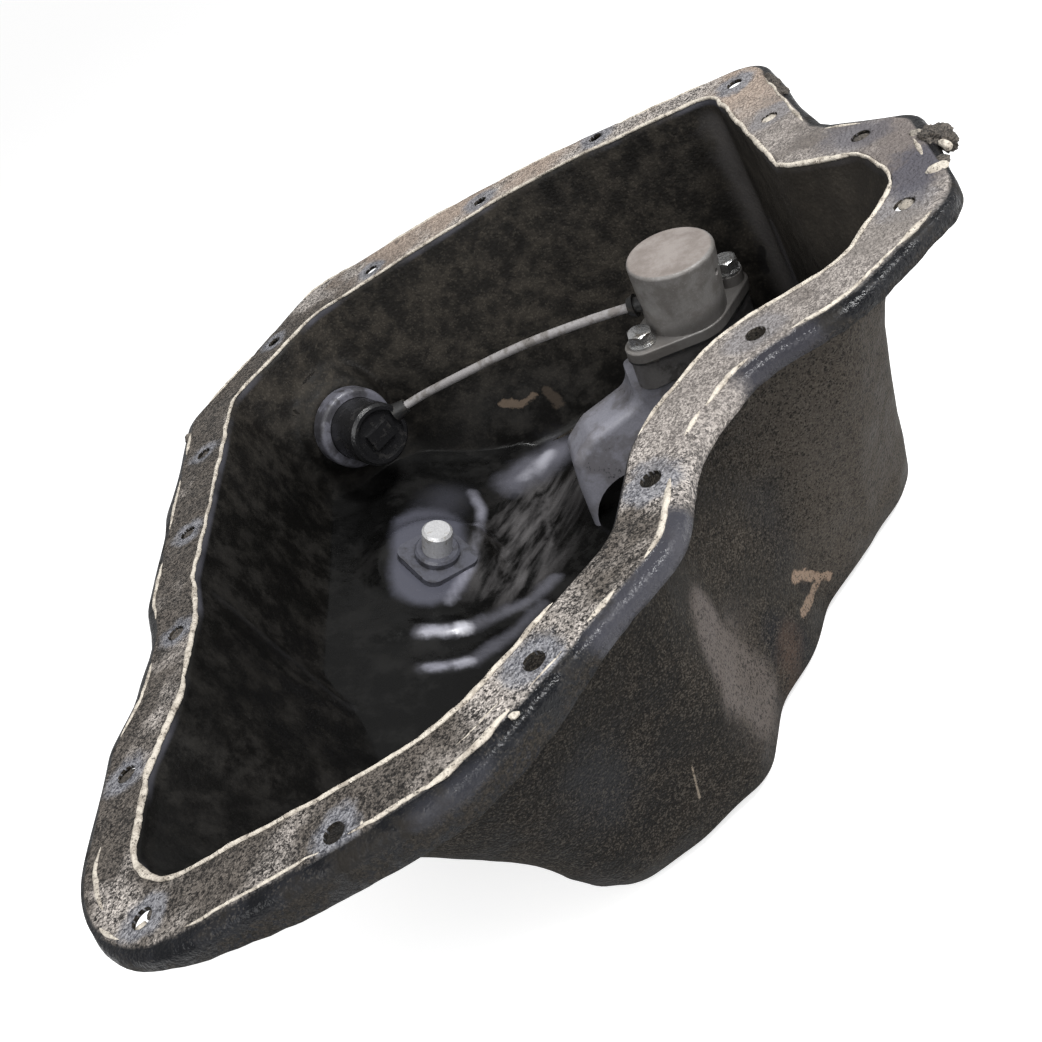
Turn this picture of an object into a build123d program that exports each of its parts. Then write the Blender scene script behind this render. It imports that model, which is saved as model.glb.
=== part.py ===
"""Pressed-steel engine oil pan with its drain plug, oil level sensor, lead and wall connector.

All sizes are in millimetres and +Z is up.  While it is built, the gasket face of the
flange lies at z = 0, the near side rail runs along -Y and the narrow lobe points to +X.
The finished parts are then moved so that the origin is the middle of the pan's bounding
box in plan, on the level of its flat sump floor.
"""
from build123d import *
from math import cos, radians, sin, tan
import os

# ---- driving dimensions -----------------------------------------------------------------
SHEET = 1.6              # thickness of the pressed steel
DEPTH = 130.0            # gasket face down to the underside of the sump floor
RIM_MARGIN = 4.2         # from the lip's outer face in to the edge of the gasket land
RIM_STEP = 0.8           # how far the painted margin lies below the gasket land
LIP_DROP = 7.0           # gasket face down to the free edge of the lip
LIP_RADIUS = 3.2         # outer bend of the lip
MOUTH_FLARE = 3.0        # bend between the flange and the walls
BOLT_HOLE = 7.0          # clearance for the M6 flange bolts
BOSS_PAD = 13.5          # radius of the land round each bolt hole
FLOOR_BEND = 9.0         # inner bend between the walls and the floor
RAMP_FOOT_X = -44.0      # where the flat sump floor turns up into the ramp
RAMP_SLOPE = 33.0        # degrees
RAMP_BEND = 30.0         # inner bend between ramp and floor

TERRACE_STEP = 3.0       # rise of each of the two pressed steps on the ramp
DRAIN_POINT = (-84, 44)  # drain hole, in plan
DRAIN_DISH_RADIUS = 33.0 # foot of the round pressing that carries the drain hole
DRAIN_BORE = 14.6
CONNECTOR_BOSS_RADIUS = 28.0  # foot of the round pressing that carries the connector
CONNECTOR_BORE = 26.0
CONNECTOR_SEAT = Vector(-105, 134, -50)
CONNECTOR_AXIS = Vector(0.545, -0.839, 0)      # from the wall into the pan
DRAIN_AXIS = Vector(0.52, -0.20, 0.83)         # from the drain plug's head to its tip
SENSOR_BASE = Vector(68, 66, -60)              # middle of the sensor's mounting face
SENSOR_AXIS = Vector(0.19, -0.10, 0.98)        # the sensor leans a little on its bracket
SENSOR_EARS = Vector(0.91, 0.41, 0)            # direction from one ear to the other
CAN_RADIUS, CAN_HEIGHT, CAN_WALL = 19.2, 36.0, 2.2
EAR_SPACING, EAR_THICKNESS, EAR_RADIUS = 51.0, 5.0, 8.0
BLOCK_HEIGHT = 15.0
GASKET = 1.0
FLOAT_TRAVEL = 13.0
LEAD_RADIUS = 2.1
PORT_RADIUS = 3.6
LEAD_ROUTE = [(-79, 116.6, -48.3), (-62, 115.5, -47.2), (-42, 106, -44), (-4, 90, -39.5),
              (29, 74.5, -38.6), (56, 63.6, -40.2)]
BARREL_RADIUS, BARREL_LENGTH, NECK_RADIUS = 15.6, 33.0, 12.8
BOSS_RING_HEIGHT, BOSS_RING_RADIUS = 9.0, 20.5
BRACKET_SHEET = 2.0
BRACKET_BEND, BRACKET_BROW = 9.0, 4.5   # outer bends along its top, and to its webs
VENT_TURN = -60.0        # direction of the small vent from the ears' line
M6_SHANK, M6_HEAD_HEIGHT = 3.0, 5.5
M14_SHANK = 7.0

# Corners of the pan seen from above.  Each row holds one corner of the opening and its
# radius, then the same corner of the turned-down lip, of the walls at the height of the
# lobe's knee, and of the sump floor.
KNEE_Z, FLOOR_Z = -45.0, -DEPTH
CORNERS = [
    ((-146, -173), 22, (-172, -203), 50, (-127, -149), 30, (-86, -97), 30),
    ((-42, -172), 60, (-38, -195), 70, (-42, -162), 40, (-45, -143), 22),
    ((19, -132), 25, (37, -149), 30, (19, -131), 25, (17, -128), 18),
    ((34, -93), 30, (51, -112), 45, (32, -97), 30, (30, -101), 40),
    ((74, -62), 35, (79, -88), 35, (70, -65), 35, (60, -66), 40),
    ((117, -62), 24, (113, -88), 40, (106, -57), 24, (86, -46), 30),
    ((148, -33), 20, (163, -62), 26, (127, -34), 22, (113, -18), 25),
    ((147, -3), 14, (173, 5), 16, (128, -2), 14, (121, 4), 14),
    ((123, 21), 12, (147, 38), 14, (122, 24), 12, (123, 30), 14),
    ((124, 126), 14, (152, 135), 22, (122, 126), 14, (117, 121), 14),
    ((55, 152), 60, (58, 176), 60, (54, 149), 60, (52, 143), 50),
    ((15, 161), 60, (8, 192), 60, (15, 157), 60, (14, 150), 50),
    ((-92, 161), 15, (-96, 202), 30, (-91, 157), 15, (-88, 150), 15),
    ((-138, 121), 15, (-168, 127), 18, (-135, 119), 15, (-128, 114), 15),
    ((-143, -20), 14, (-168, -22), 40, (-138, -20), 14, (-129, -22), 15),
    ((-138, -46), 14, (-161, -48), 40, (-131, -48), 14, (-112, -57), 15),
    ((-139, -92), 24, (-163, -80), 24, (-128, -88), 24, (-103, -72), 20),
    ((-148, -122), 24, (-171, -99), 24, (-131, -112), 24, (-95, -82), 20),
]
# Flange bolts, in order round the rim.
BOLTS = [(-75, -189), (-10.5, -165.5), (36.5, -117), (84, -75), (144.5, -51.5), (152.5, 9),
         (135, 68.5), (135, 122), (72, 160), (8, 173), (-57, 173), (-117, 160), (-152, 82),
         (-152, 17), (-148, -52), (-158, -117.5), (-140, -183)]


def inset(points, distance):
    """The polygon with every side moved inwards by distance (outwards when negative)."""
    moved = []
    for before, here, after in zip(points[-1:] + points[:-1], points, points[1:] + points[:1]):
        a, b = Vector(*before), Vector(*here)
        one, two = (b - a).normalized(), (Vector(*after) - b).normalized()
        turn = one.X * two.Y - one.Y * two.X
        normal_one, normal_two = Vector(-one.Y, one.X), Vector(-two.Y, two.X)
        if abs(turn) < 1e-6:
            corner = b + normal_one * distance
        else:
            corner = b + (normal_one + normal_two) * (distance / (1 + normal_one.dot(normal_two)))
        moved.append((corner.X, corner.Y))
    return moved


def ring(points, radii, z):
    """A closed wire of straight sides and corner arcs at height z."""
    ends, arcs = [], []
    for before, here, after, radius in zip(points[-1:] + points[:-1], points,
                                           points[1:] + points[:1], radii):
        a, b, c = Vector(*before), Vector(*here), Vector(*after)
        one, two = (a - b).normalized(), (c - b).normalized()
        half = one.get_angle(two) / 2
        reach = radius / tan(radians(half))
        centre = b + (one + two).normalized() * (radius / sin(radians(half)))
        middle = centre + (b - centre).normalized() * radius
        start, end = b + one * reach, b + two * reach
        ends.append((start, end))
        arcs.append(ThreePointArc(*[Vector(v.X, v.Y, z) for v in (start, middle, end)]))
    edges = []
    for i, arc in enumerate(arcs):
        following = ends[(i + 1) % len(ends)][0]
        edges += [arc, Line((ends[i][1].X, ends[i][1].Y, z), (following.X, following.Y, z))]
    return Wire(edges)


def outline(distance, level=0):
    """Corners and radii of the rim (level 0), lip (1), knee (2) or floor (3), moved inwards."""
    points = inset([row[2 * level] for row in CORNERS], distance)
    radii = []
    for before, here, after, row in zip(points[-1:] + points[:-1], points,
                                        points[1:] + points[:1], CORNERS):
        into, out = Vector(*here) - Vector(*before), Vector(*after) - Vector(*here)
        convex = into.X * out.Y - into.Y * out.X > 0
        radius = max(row[2 * level + 1] + (-distance if convex else distance), 4.0)
        room = 0.66 * min(into.length, out.length)
        half_turn = radians(into.get_angle(out)) / 2
        radii.append(min(radius, room / tan(half_turn)))
    return points, radii


def rise_over_floor(x, lift=0):
    """Height of the inside of the pressing at x, before the wall bends, raised by lift."""
    slope = radians(RAMP_SLOPE)
    flat = FLOOR_Z + SHEET
    foot = RAMP_FOOT_X + SHEET * tan(slope / 2)
    return max(flat, flat + (foot - x) * tan(slope)) + lift / (cos(slope) if x < foot else 1)


def room_over_floor(shift):
    """Everything above the floor and the ramp, whose surface is moved up by shift."""
    low = FLOOR_Z + SHEET + shift
    foot = RAMP_FOOT_X + (SHEET + shift) * tan(radians(RAMP_SLOPE / 2))
    top = low + (foot + 220) * tan(radians(RAMP_SLOPE))
    side = [(240, low), (foot, low), (-220, top), (-220, 60), (240, 60)]
    face = make_face([Line((x, 0, z), (u, 0, w)) for (x, z), (u, w)
                      in zip(side, side[1:] + side[:1])])
    face = fillet(face.vertices().sort_by_distance((foot, 0, low))[0], RAMP_BEND - shift)
    return extrude(face, 260, dir=(0, 1, 0), both=True)


def drawn_block(out):
    """The drawn body as a solid: the cavity (out = 0), or its outside one sheet away."""
    levels = [(-out, 0, MOUTH_FLARE), (-out - 1, 0, 0.8), (-out - MOUTH_FLARE, 0, 0),
              (KNEE_Z, 2, 0)]
    levels += [(FLOOR_Z + SHEET - out + rise * FLOOR_BEND, 3, -pull * FLOOR_BEND)
               for rise, pull in ((1, 0.08), (0.45, 0.25), (0.12, 0.55), (0, 1))]
    wires = []
    for z, level, spread in levels:
        points, radii = outline(-spread - out, level)
        wires.append(ring(points, radii, z))
    block = Solid.make_loft(wires, ruled=True) & room_over_floor(-out)

    # two broad steps pressed up round the drain
    for number, terrace in enumerate(TERRACES, 1):
        footprint = make_face(ring(inset(terrace, out), [12 - out] * len(terrace), FLOOR_Z - 20))
        block -= extrude(footprint, 100) - room_over_floor(number * TERRACE_STEP - out)

    # the round pressings that make flat seats for the drain plug and for the connector
    seat = Plane(DRAIN_SEAT - DRAIN_PLANE.z_dir * out, z_dir=DRAIN_PLANE.z_dir)
    block -= seat * Cone(DRAIN_DISH_RADIUS + 7 - out, DRAIN_DISH_RADIUS - 7 - out, 14,
                         align=(Align.CENTER, Align.CENTER, Align.MAX))
    seat = Plane(CONNECTOR_SEAT - CONNECTOR_PLANE.z_dir * out, z_dir=CONNECTOR_PLANE.z_dir)
    block -= seat * Cone(CONNECTOR_BOSS_RADIUS + 5 - out, CONNECTOR_BOSS_RADIUS - 5 - out, 16,
                         align=(Align.CENTER, Align.CENTER, Align.MAX))
    return block


TERRACES = [
    [(-117, -21), (-80, -21), (-50, 17), (-24, 48), (-24, 118), (-117, 118)],
    [(-115, -1), (-79, -1), (-59, 23), (-38, 50), (-38, 108), (-115, 108)],
]
DRAIN_SEAT = Vector(*DRAIN_POINT, rise_over_floor(DRAIN_POINT[0], 3 * TERRACE_STEP + 2.5))
DRAIN_PLANE = Plane(DRAIN_SEAT, z_dir=DRAIN_AXIS)
CONNECTOR_PLANE = Plane(CONNECTOR_SEAT, z_dir=CONNECTOR_AXIS)
SENSOR_PLANE = Plane(SENSOR_BASE, x_dir=SENSOR_EARS - SENSOR_AXIS * SENSOR_EARS.dot(SENSOR_AXIS),
                     z_dir=SENSOR_AXIS)


def rim_plate(distance, top, bottom):
    """A flat plate as wide as the lip, moved inwards by distance."""
    points, radii = outline(distance, 1)
    return extrude(make_face(ring(points, radii, bottom)), top - bottom)


def make_pan_shell():
    """Flange, lip, walls, ramp and floor, drawn as one pressing."""
    land = rim_plate(RIM_MARGIN, 0, -SHEET)
    for x, y in BOLTS:
        pad = Pos(x, y, -SHEET / 2) * Cylinder(BOSS_PAD, SHEET)
        land += pad & rim_plate(LIP_RADIUS, 0, -SHEET)
    margin = rim_plate(0, -RIM_STEP, -LIP_DROP)
    rim = margin.edges().group_by(Axis.Z)[-1]
    margin = fillet(rim, LIP_RADIUS)
    under = rim_plate(SHEET, -RIM_STEP - SHEET, -LIP_DROP)
    under = fillet(under.edges().group_by(Axis.Z)[-1], LIP_RADIUS - SHEET)
    shell = land + (margin - under) + drawn_block(SHEET) - drawn_block(0)
    for x, y in BOLTS:
        shell -= Pos(x, y) * Cylinder(BOLT_HOLE / 2, 8)
    shell -= DRAIN_PLANE * Cylinder(DRAIN_BORE / 2, 12)
    shell -= CONNECTOR_PLANE * Cylinder(CONNECTOR_BORE / 2, 12)
    return shell


def hexagon_head(across_flats, height, washer_face=0.6):
    """A hexagon head standing on z = 0, with its crown chamfered by a cone."""
    head = extrude(RegularPolygon(across_flats / 2, 6, major_radius=False), height)
    head &= Cone(across_flats * 0.5 + height * 1.6, across_flats * 0.5 - 0.4, height,
                 align=(Align.CENTER, Align.CENTER, Align.MIN))
    return head + Cylinder(across_flats * 0.48, washer_face,
                           align=(Align.CENTER, Align.CENTER, Align.MIN))


def upright(shape_type, *sizes):
    """A cylinder or cone that stands on z = 0."""
    return shape_type(*sizes, align=(Align.CENTER, Align.CENTER, Align.MIN))


def make_drain_parts():
    """Weld nut plate inside the pan, plug through it, and its sealing washer outside."""
    plate_height, collar_height = 3.0, 4.0
    corners = [(-21, -3), (3, -20), (21, 3), (-3, 20)]
    face = make_face(Polyline(*corners, close=True))
    face = fillet(face.vertices(), 6)
    turn = Rot(0, 0, -20)
    plate = turn * extrude(face, plate_height)
    collar = upright(Cylinder, 10.5, plate_height + collar_height)
    collar = chamfer(collar.edges().group_by(Axis.Z)[-1], 1.0)
    plate = plate + collar - Cylinder(M14_SHANK + 0.05, 40)
    tip = 19.0
    head_gap = SHEET + 1.5
    shank = Pos(0, 0, -head_gap) * upright(Cylinder, M14_SHANK, head_gap + tip)
    shank = chamfer(shank.edges().group_by(Axis.Z)[-1], 1.2)
    plug = shank + Pos(0, 0, -head_gap) * Rot(180, 0, 0) * (
        upright(Cylinder, 11.5, 1.5) + hexagon_head(19, 8.5))
    washer = Pos(0, 0, -head_gap) * (upright(Cylinder, 11.0, 1.5) - Cylinder(M14_SHANK + 0.3, 9))
    return {"drain_nut_plate": DRAIN_PLANE * plate, "drain_plug": DRAIN_PLANE * plug,
            "drain_plug_washer": DRAIN_PLANE * washer}


def ear_outline(radius, waist):
    """Two-eared flange: a round middle joined to two ear circles by common tangents."""
    middle = Circle(waist)
    ears = Sketch() + [Pos(side * EAR_SPACING / 2, 0) * Circle(radius) for side in (-1, 1)]
    return make_hull((middle + ears).edges())


def make_sensor_parts():
    """Oil level sensor: can on a two-eared flange, float on its stem, block, gasket, bolts."""
    # the can: a slightly tapered thimble whose open end sits on its own flange
    thimble = upright(Cone, CAN_RADIUS - 1.6, CAN_RADIUS, CAN_HEIGHT)
    thimble = fillet(thimble.edges().group_by(Axis.Z)[-1], 1.8)
    flange = extrude(ear_outline(EAR_RADIUS, CAN_RADIUS - 0.6), EAR_THICKNESS)
    flange = fillet(flange.edges().group_by(Axis.Z)[-1], 0.8)
    can = thimble + flange
    seats = {}
    for side, rise in ((-1, 0.0), (1, 5.0)):
        spot = Pos(side * EAR_SPACING / 2, 0, EAR_THICKNESS)
        seats[side] = EAR_THICKNESS + rise
        if rise:
            can += spot * upright(Cylinder, EAR_RADIUS - 1.5, rise)
    bore = upright(Cone, CAN_RADIUS - 1.6 - CAN_WALL, CAN_RADIUS - CAN_WALL,
                   CAN_HEIGHT - CAN_WALL)
    can -= bore
    for side in (-1, 1):
        can -= Pos(side * EAR_SPACING / 2, 0) * Cylinder(M6_SHANK + 0.3, 40)
    vent = Pos(0, 0, CAN_HEIGHT - 11) * Rot(0, 0, VENT_TURN) * Rot(0, 90, 0)
    can -= vent * upright(Cylinder, 1.6, 30)

    # reed stem, the float that slides on it, and the clip that stops the float at the top
    stem = upright(Cylinder, 2.6, CAN_HEIGHT - 6)
    stem += Pos(0, 0, -GASKET) * upright(Cylinder, CAN_RADIUS - 4.6, 3.0 + GASKET)
    floater = Pos(0, 0, 3.0) * (upright(Cylinder, 11.0, 11.5) - Cylinder(3.2, 60))
    floater = fillet(floater.edges().filter_by(GeomType.CIRCLE).sort_by(SortBy.RADIUS)[-2:], 1.5)
    clip = Pos(0, 0, 3.0 + 11.5 + FLOAT_TRAVEL) * (upright(Cylinder, 5.0, 1.0)
                                                  - Cylinder(2.6, 9))

    # gasket, block and fasteners
    gasket = extrude(ear_outline(EAR_RADIUS, CAN_RADIUS - 0.6), -GASKET)
    block = Pos(0, 0, -GASKET) * extrude(ear_outline(EAR_RADIUS - 1.0, CAN_RADIUS - 4.5),
                                         -BLOCK_HEIGHT)
    block = chamfer(block.edges().group_by(Axis.Z)[0], 1.0)
    for side in (-1, 1):
        spot = Pos(side * EAR_SPACING / 2, 0)
        gasket -= spot * Cylinder(M6_SHANK + 0.3, 40)
        block -= spot * Cylinder(M6_SHANK, 60)
    gasket -= Cylinder(CAN_RADIUS - 4.0, 9)
    parts = {"sensor_can": can, "sensor_stem": stem, "sensor_float": floater,
             "sensor_float_clip": clip, "sensor_gasket": gasket, "sensor_block": block}
    for side, name in ((-1, "left"), (1, "right")):
        spot = Pos(side * EAR_SPACING / 2, 0, seats[side])
        washer = upright(Cylinder, 6.2, 1.2) - Cylinder(M6_SHANK + 0.2, 9)
        grip = seats[side] + 1.2 + GASKET + 9
        bolt = Pos(0, 0, 1.2) * (hexagon_head(10, M6_HEAD_HEIGHT)
                                 + Pos(0, 0, -grip) * upright(Cylinder, M6_SHANK, grip))
        parts["sensor_washer_" + name] = spot * washer
        parts["sensor_bolt_" + name] = spot * bolt
    parts = {name: SENSOR_PLANE * shape for name, shape in parts.items()}
    parts["sensor_can"] -= port_plane() * Cylinder(PORT_RADIUS, 24)
    return parts


def make_sensor_bracket():
    """Pressed saddle that carries the sensor block: round-edged top, two webs with arches,
    feet."""
    floor, near, rear, left, right = FLOOR_Z + SHEET, 55.0, 81.0, -18.0, 100.0
    block_foot = SENSOR_PLANE.origin - SENSOR_PLANE.z_dir * (GASKET + BLOCK_HEIGHT)

    def saddle(skin):
        """The solid under the saddle's surface, moved in by skin."""
        bends = [(-13 + skin, -103), (-9 + skin, -88 - skin / 2), (4, -80.5 - skin),
                 (30 + skin, -77 - skin), (38 + skin, -50)]
        side = [(left + skin, floor), *bends, (right - skin, -50), (right - skin, floor)]
        face = make_face(Polyline(*[(x, near + skin, z) for x, z in side], close=True))
        rounded = [v for v in face.vertices() if v.X < 32 + skin and v.Z > floor + 1]
        face = fillet(rounded, BRACKET_BEND - skin)
        block = extrude(face, rear - near - 2 * skin, dir=(0, 1, 0))
        brow = [e for e in block.edges() if abs(e.tangent_at(0.5).Y) < 0.01
                and e.center().Z > floor + 1 and e.center().X < 60]
        block = fillet(brow, BRACKET_BROW - skin)
        above = Plane(block_foot - SENSOR_PLANE.z_dir * skin, z_dir=SENSOR_PLANE.z_dir)
        block -= above * upright(Box, 300, 300, 90)
        return block

    bracket = saddle(0) - saddle(BRACKET_SHEET)
    for x, radius in ((7, 22), (68, 24)):
        bracket -= Pos(x, 68, floor) * Rot(90, 0, 0) * Cylinder(radius, 60)
    bracket -= Pos(right, 68, floor) * Box(30, 15, 36)
    for x, length in ((left + 4, 8), (37, 14), (right - 4, 8)):
        for y, side in ((near, -1), (rear, 1)):
            foot = Pos(x, y + side * 5, floor) * upright(Box, length, 14, BRACKET_SHEET)
            bracket += foot
    return bracket


def bent_tube(points, radius):
    """A round tube along straight runs that are joined by the largest tangent arcs."""
    points = [Vector(*p) for p in points]
    edges, start = [], points[0]
    for before, here, after in zip(points, points[1:], points[2:]):
        one, two = before - here, after - here
        reach = 0.45 * min(one.length, two.length)
        one, two = one.normalized(), two.normalized()
        half = radians(one.get_angle(two)) / 2
        middle = here + (one + two).normalized() * (reach / cos(half) - reach * tan(half))
        edges += [Line(start, here + one * reach),
                  ThreePointArc(here + one * reach, middle, here + two * reach)]
        start = here + two * reach
    path = Wire(edges + [Line(start, points[-1])])
    section = Plane(points[0], z_dir=points[1] - points[0]) * Circle(radius)
    return sweep(section, path)


def lead_end(first, second, setback):
    """Plane on the lead at its end, facing along the lead from first towards second."""
    first, second = Vector(*first), Vector(*second)
    along = (second - first).normalized()
    return Plane(first + along * setback, z_dir=along)


def port_plane():
    """Where the lead enters the can."""
    return lead_end(LEAD_ROUTE[-1], LEAD_ROUTE[-2], 0)


def make_lead_parts():
    """The lead from connector to can, with a rubber grommet at each end."""
    lead = bent_tube(LEAD_ROUTE, LEAD_RADIUS)
    grommet = upright(Cylinder, PORT_RADIUS, 4.8) + Pos(0, 0, 4.8) * upright(Cone, 5.2, 4.0, 3.0)
    grommet -= Cylinder(LEAD_RADIUS, 40)
    can_end = port_plane()
    boot = upright(Cone, 4.6, 3.4, 7.0) - Cylinder(LEAD_RADIUS, 60)
    return {"sensor_lead": lead, "can_grommet": can_end * grommet,
            "connector_boot": lead_end(LEAD_ROUTE[0], LEAD_ROUTE[1], 1.5) * boot}


def make_connector_parts():
    """Two-way terminal through the corner wall, with its ring, seal, circlip and pins."""
    outside = -SHEET
    body = upright(Cylinder, BARREL_RADIUS, BARREL_LENGTH)
    body = chamfer(body.edges().group_by(Axis.Z)[-1], 1.4)
    body -= Pos(0, 0, BARREL_LENGTH - 2) * upright(Cylinder, BARREL_RADIUS - 3, 2)
    body += Pos(0, 0, BARREL_LENGTH - 2) * upright(Box, 13, 9, 2.6)
    body -= Pos(0, 0, 3) * (upright(Cylinder, 20, 2.8) - Cylinder(13.2, 20))
    body += Pos(0, 0, -12) * upright(Cylinder, NECK_RADIUS, 12)
    body += Pos(0, 0, -19) * upright(Cone, NECK_RADIUS - 3, NECK_RADIUS - 1.5, 7)
    body += Pos(0, NECK_RADIUS - 1, -8) * Box(5, 4, 6)
    body -= Pos(0, 0, outside - 1.5) * (upright(Cylinder, 20, 1.3) - Cylinder(11.6, 20))
    ring = upright(Cylinder, BOSS_RING_RADIUS, BOSS_RING_HEIGHT)
    ring = fillet(ring.edges().group_by(Axis.Z)[-1], 2.5) - Cylinder(BARREL_RADIUS + 0.2, 40)
    seal = Pos(0, 0, 4.4) * Torus(14.5, 1.3)
    clip = Pos(0, 0, outside - 1.4) * (upright(Cylinder, 16.0, 1.2) - Cylinder(11.6, 9))
    clip -= Pos(-14, 0, outside) * Box(8, 5, 8)
    pin = fillet(upright(Cylinder, 1.6, 9).edges().group_by(Axis.Z)[-1], 1.0)
    pins = [Pos(x, 0, -19) * Rot(180, 0, 0) * pin for x in (-4.2, 4.2)]
    pins = Part() + pins
    parts = {"connector_body": body, "connector_ring": ring, "connector_seal": seal,
             "connector_circlip": clip, "connector_pins": pins}
    parts = {name: CONNECTOR_PLANE * shape for name, shape in parts.items()}
    parts["connector_body"] -= (lead_end(LEAD_ROUTE[0], LEAD_ROUTE[1], 0)
                                * upright(Cylinder, LEAD_RADIUS, 20))
    parts["connector_body"] -= (lead_end(LEAD_ROUTE[0], LEAD_ROUTE[1], 1.5)
                                * upright(Cylinder, 4.6, 20))
    return parts


if __name__ == "__main__":
    os.makedirs("parts", exist_ok=True)
    parts = {"pan_shell": make_pan_shell(), "sensor_bracket": make_sensor_bracket()}
    for group in (make_drain_parts(), make_sensor_parts(), make_lead_parts(),
                  make_connector_parts()):
        parts.update(group)
    box = parts["pan_shell"].bounding_box()
    home = Pos(-box.center().X, -box.center().Y, DEPTH)
    for name, shape in parts.items():
        export_step(home * shape, f"parts/{name}.step")
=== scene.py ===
import bpy
import numpy as np
from mathutils import Euler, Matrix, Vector


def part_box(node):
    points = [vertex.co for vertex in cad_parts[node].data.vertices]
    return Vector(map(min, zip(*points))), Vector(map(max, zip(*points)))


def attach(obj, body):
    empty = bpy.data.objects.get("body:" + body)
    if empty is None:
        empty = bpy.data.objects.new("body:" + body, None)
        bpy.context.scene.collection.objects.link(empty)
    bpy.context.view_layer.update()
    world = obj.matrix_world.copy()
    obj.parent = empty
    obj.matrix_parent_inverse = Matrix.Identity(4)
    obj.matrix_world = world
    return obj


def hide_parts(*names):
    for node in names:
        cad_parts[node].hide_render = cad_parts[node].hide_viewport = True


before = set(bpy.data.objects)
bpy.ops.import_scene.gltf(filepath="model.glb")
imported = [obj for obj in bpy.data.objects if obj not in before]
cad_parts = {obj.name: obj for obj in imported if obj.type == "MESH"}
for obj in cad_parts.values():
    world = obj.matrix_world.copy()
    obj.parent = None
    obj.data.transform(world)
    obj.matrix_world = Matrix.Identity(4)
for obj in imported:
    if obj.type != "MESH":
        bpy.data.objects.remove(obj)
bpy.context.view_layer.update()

scene = bpy.context.scene


# ---- studio ----
# The pan stands on a wide pale sheet under a softbox and two weaker ones, in a bright room.
# The camera looks down into the pan from beside its near rail, rolled to one side.
FLOOR_SPAN, FLOOR_COLOUR, FLOOR_GLOW = 60.0, (0.82, 0.82, 0.82, 1), 0.6
ROOM_LIGHT, ROOM_SEEN, LAMPS_AIM = 0.45, 1.0, Vector((0, 0, 0.05))
CAMERA_AT, CAMERA_LENS = (0.06902, -0.40849, 0.32527), 41.46
CAMERA_TURN = (52.176, 30.762, -7.853)


def link_number(tree, others, camera, socket):
    """Sets a socket to one number for rays from the camera and to another for all others."""
    path, pick = tree.nodes.new("ShaderNodeLightPath"), tree.nodes.new("ShaderNodeMix")
    pick.inputs["A"].default_value, pick.inputs["B"].default_value = others, camera
    tree.links.new(path.outputs["Is Camera Ray"], pick.inputs["Factor"])
    tree.links.new(pick.outputs["Result"], socket)


def plain_floor():
    """One square sheet at z = 0, a little brighter to the camera than to the pan."""
    half = FLOOR_SPAN / 2
    mesh = bpy.data.meshes.new("studio_floor")
    mesh.from_pydata([(-half, -half, 0), (half, -half, 0), (half, half, 0), (-half, half, 0)],
                     [], [(0, 1, 2, 3)])
    floor = bpy.data.objects.new("studio_floor", mesh)
    scene.collection.objects.link(floor)
    paper = bpy.data.materials.new("studio_paper")
    paper.use_nodes = True
    shader = paper.node_tree.nodes["Principled BSDF"]
    shader.inputs["Base Color"].default_value = FLOOR_COLOUR
    shader.inputs["Roughness"].default_value = 0.8
    shader.inputs["Emission Color"].default_value = (1, 1, 1, 1)
    link_number(paper.node_tree, 0.0, FLOOR_GLOW, shader.inputs["Emission Strength"])
    mesh.materials.append(paper)


def bright_room():
    """Even white light all round, weaker on the pan than the white that the camera sees."""
    world = bpy.data.worlds.new("studio_room")
    world.use_nodes = True
    back = world.node_tree.nodes["Background"]
    back.inputs["Color"].default_value = (1, 1, 1, 1)
    link_number(world.node_tree, ROOM_LIGHT, ROOM_SEEN, back.inputs["Strength"])
    scene.world = world


def softbox(name, at, size, power):
    """A square area lamp at a point, facing the pan."""
    lamp = bpy.data.lights.new(name, "AREA")
    lamp.shape, lamp.size, lamp.energy = "SQUARE", size, power
    holder = bpy.data.objects.new(name, lamp)
    holder.location = at
    holder.rotation_euler = (LAMPS_AIM - Vector(at)).to_track_quat("-Z", "Y").to_euler()
    scene.collection.objects.link(holder)


plain_floor()
bright_room()
softbox("key_softbox", (0.7, -0.33, 1.12), size=0.34, power=14)
softbox("side_softbox", (1.2, -0.4, 0.55), size=0.8, power=3)
softbox("front_softbox", (-0.25, -1.15, 1.0), size=1.0, power=9)
camera = bpy.data.objects.new("camera", bpy.data.cameras.new("camera"))
camera.data.lens = CAMERA_LENS
camera.location = CAMERA_AT
camera.rotation_euler = Euler(np.radians(CAMERA_TURN))
scene.collection.objects.link(camera)
scene.camera = camera
scene.view_settings.view_transform = "Standard"


# ---- pan shell ----
# One deep pressing in sheet steel: flange, rolled lip, drafted walls, ramp and sump floor.
# It is painted black, dusty outside, wet with old oil inside, and keeps its dried sealant.
SHEET = 1.6
RIM_STEP, RIM_MARGIN = 0.8, 4.2
LIP_DROP, LIP_STRAIGHT, LIP_RADIUS, LIP_SAG, MOUTH_BEND = 7.0, 1.4, 3.2, 6.0, 3.0
BOLT_HOLE, BOSS_PAD, DRAIN_HOLE, CONNECTOR_HOLE = 7.0, 13.5, 14.6, 26.0
WALL_TOP, KNEE_Z, KNEE_BEND, FLOOR_Z, FLOOR_BEND, FLOOR_START = -6, -45.0, 4, -128.4, 9.0, 0.7
FLOOR_MIDDLE = np.array([8.0, 16.0, FLOOR_Z])
RAMP_FOOT, RAMP_SLOPE, RAMP_BLEND = -43.5, 0.649, 18.0
PAN_SHIFT = np.array([-0.334, -0.426, 130.0])
AROUND, LIP_RINGS, LAND_RINGS, MOUTH_RINGS, UPPER_RINGS, LOWER_RINGS = 480, 6, 19, 6, 14, 25
FLOOR_RINGS, BAR_SIDES, BAR_REACH, HOLE_TOP, WAVES = 56, 40, 6, -1.2, 10
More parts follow.
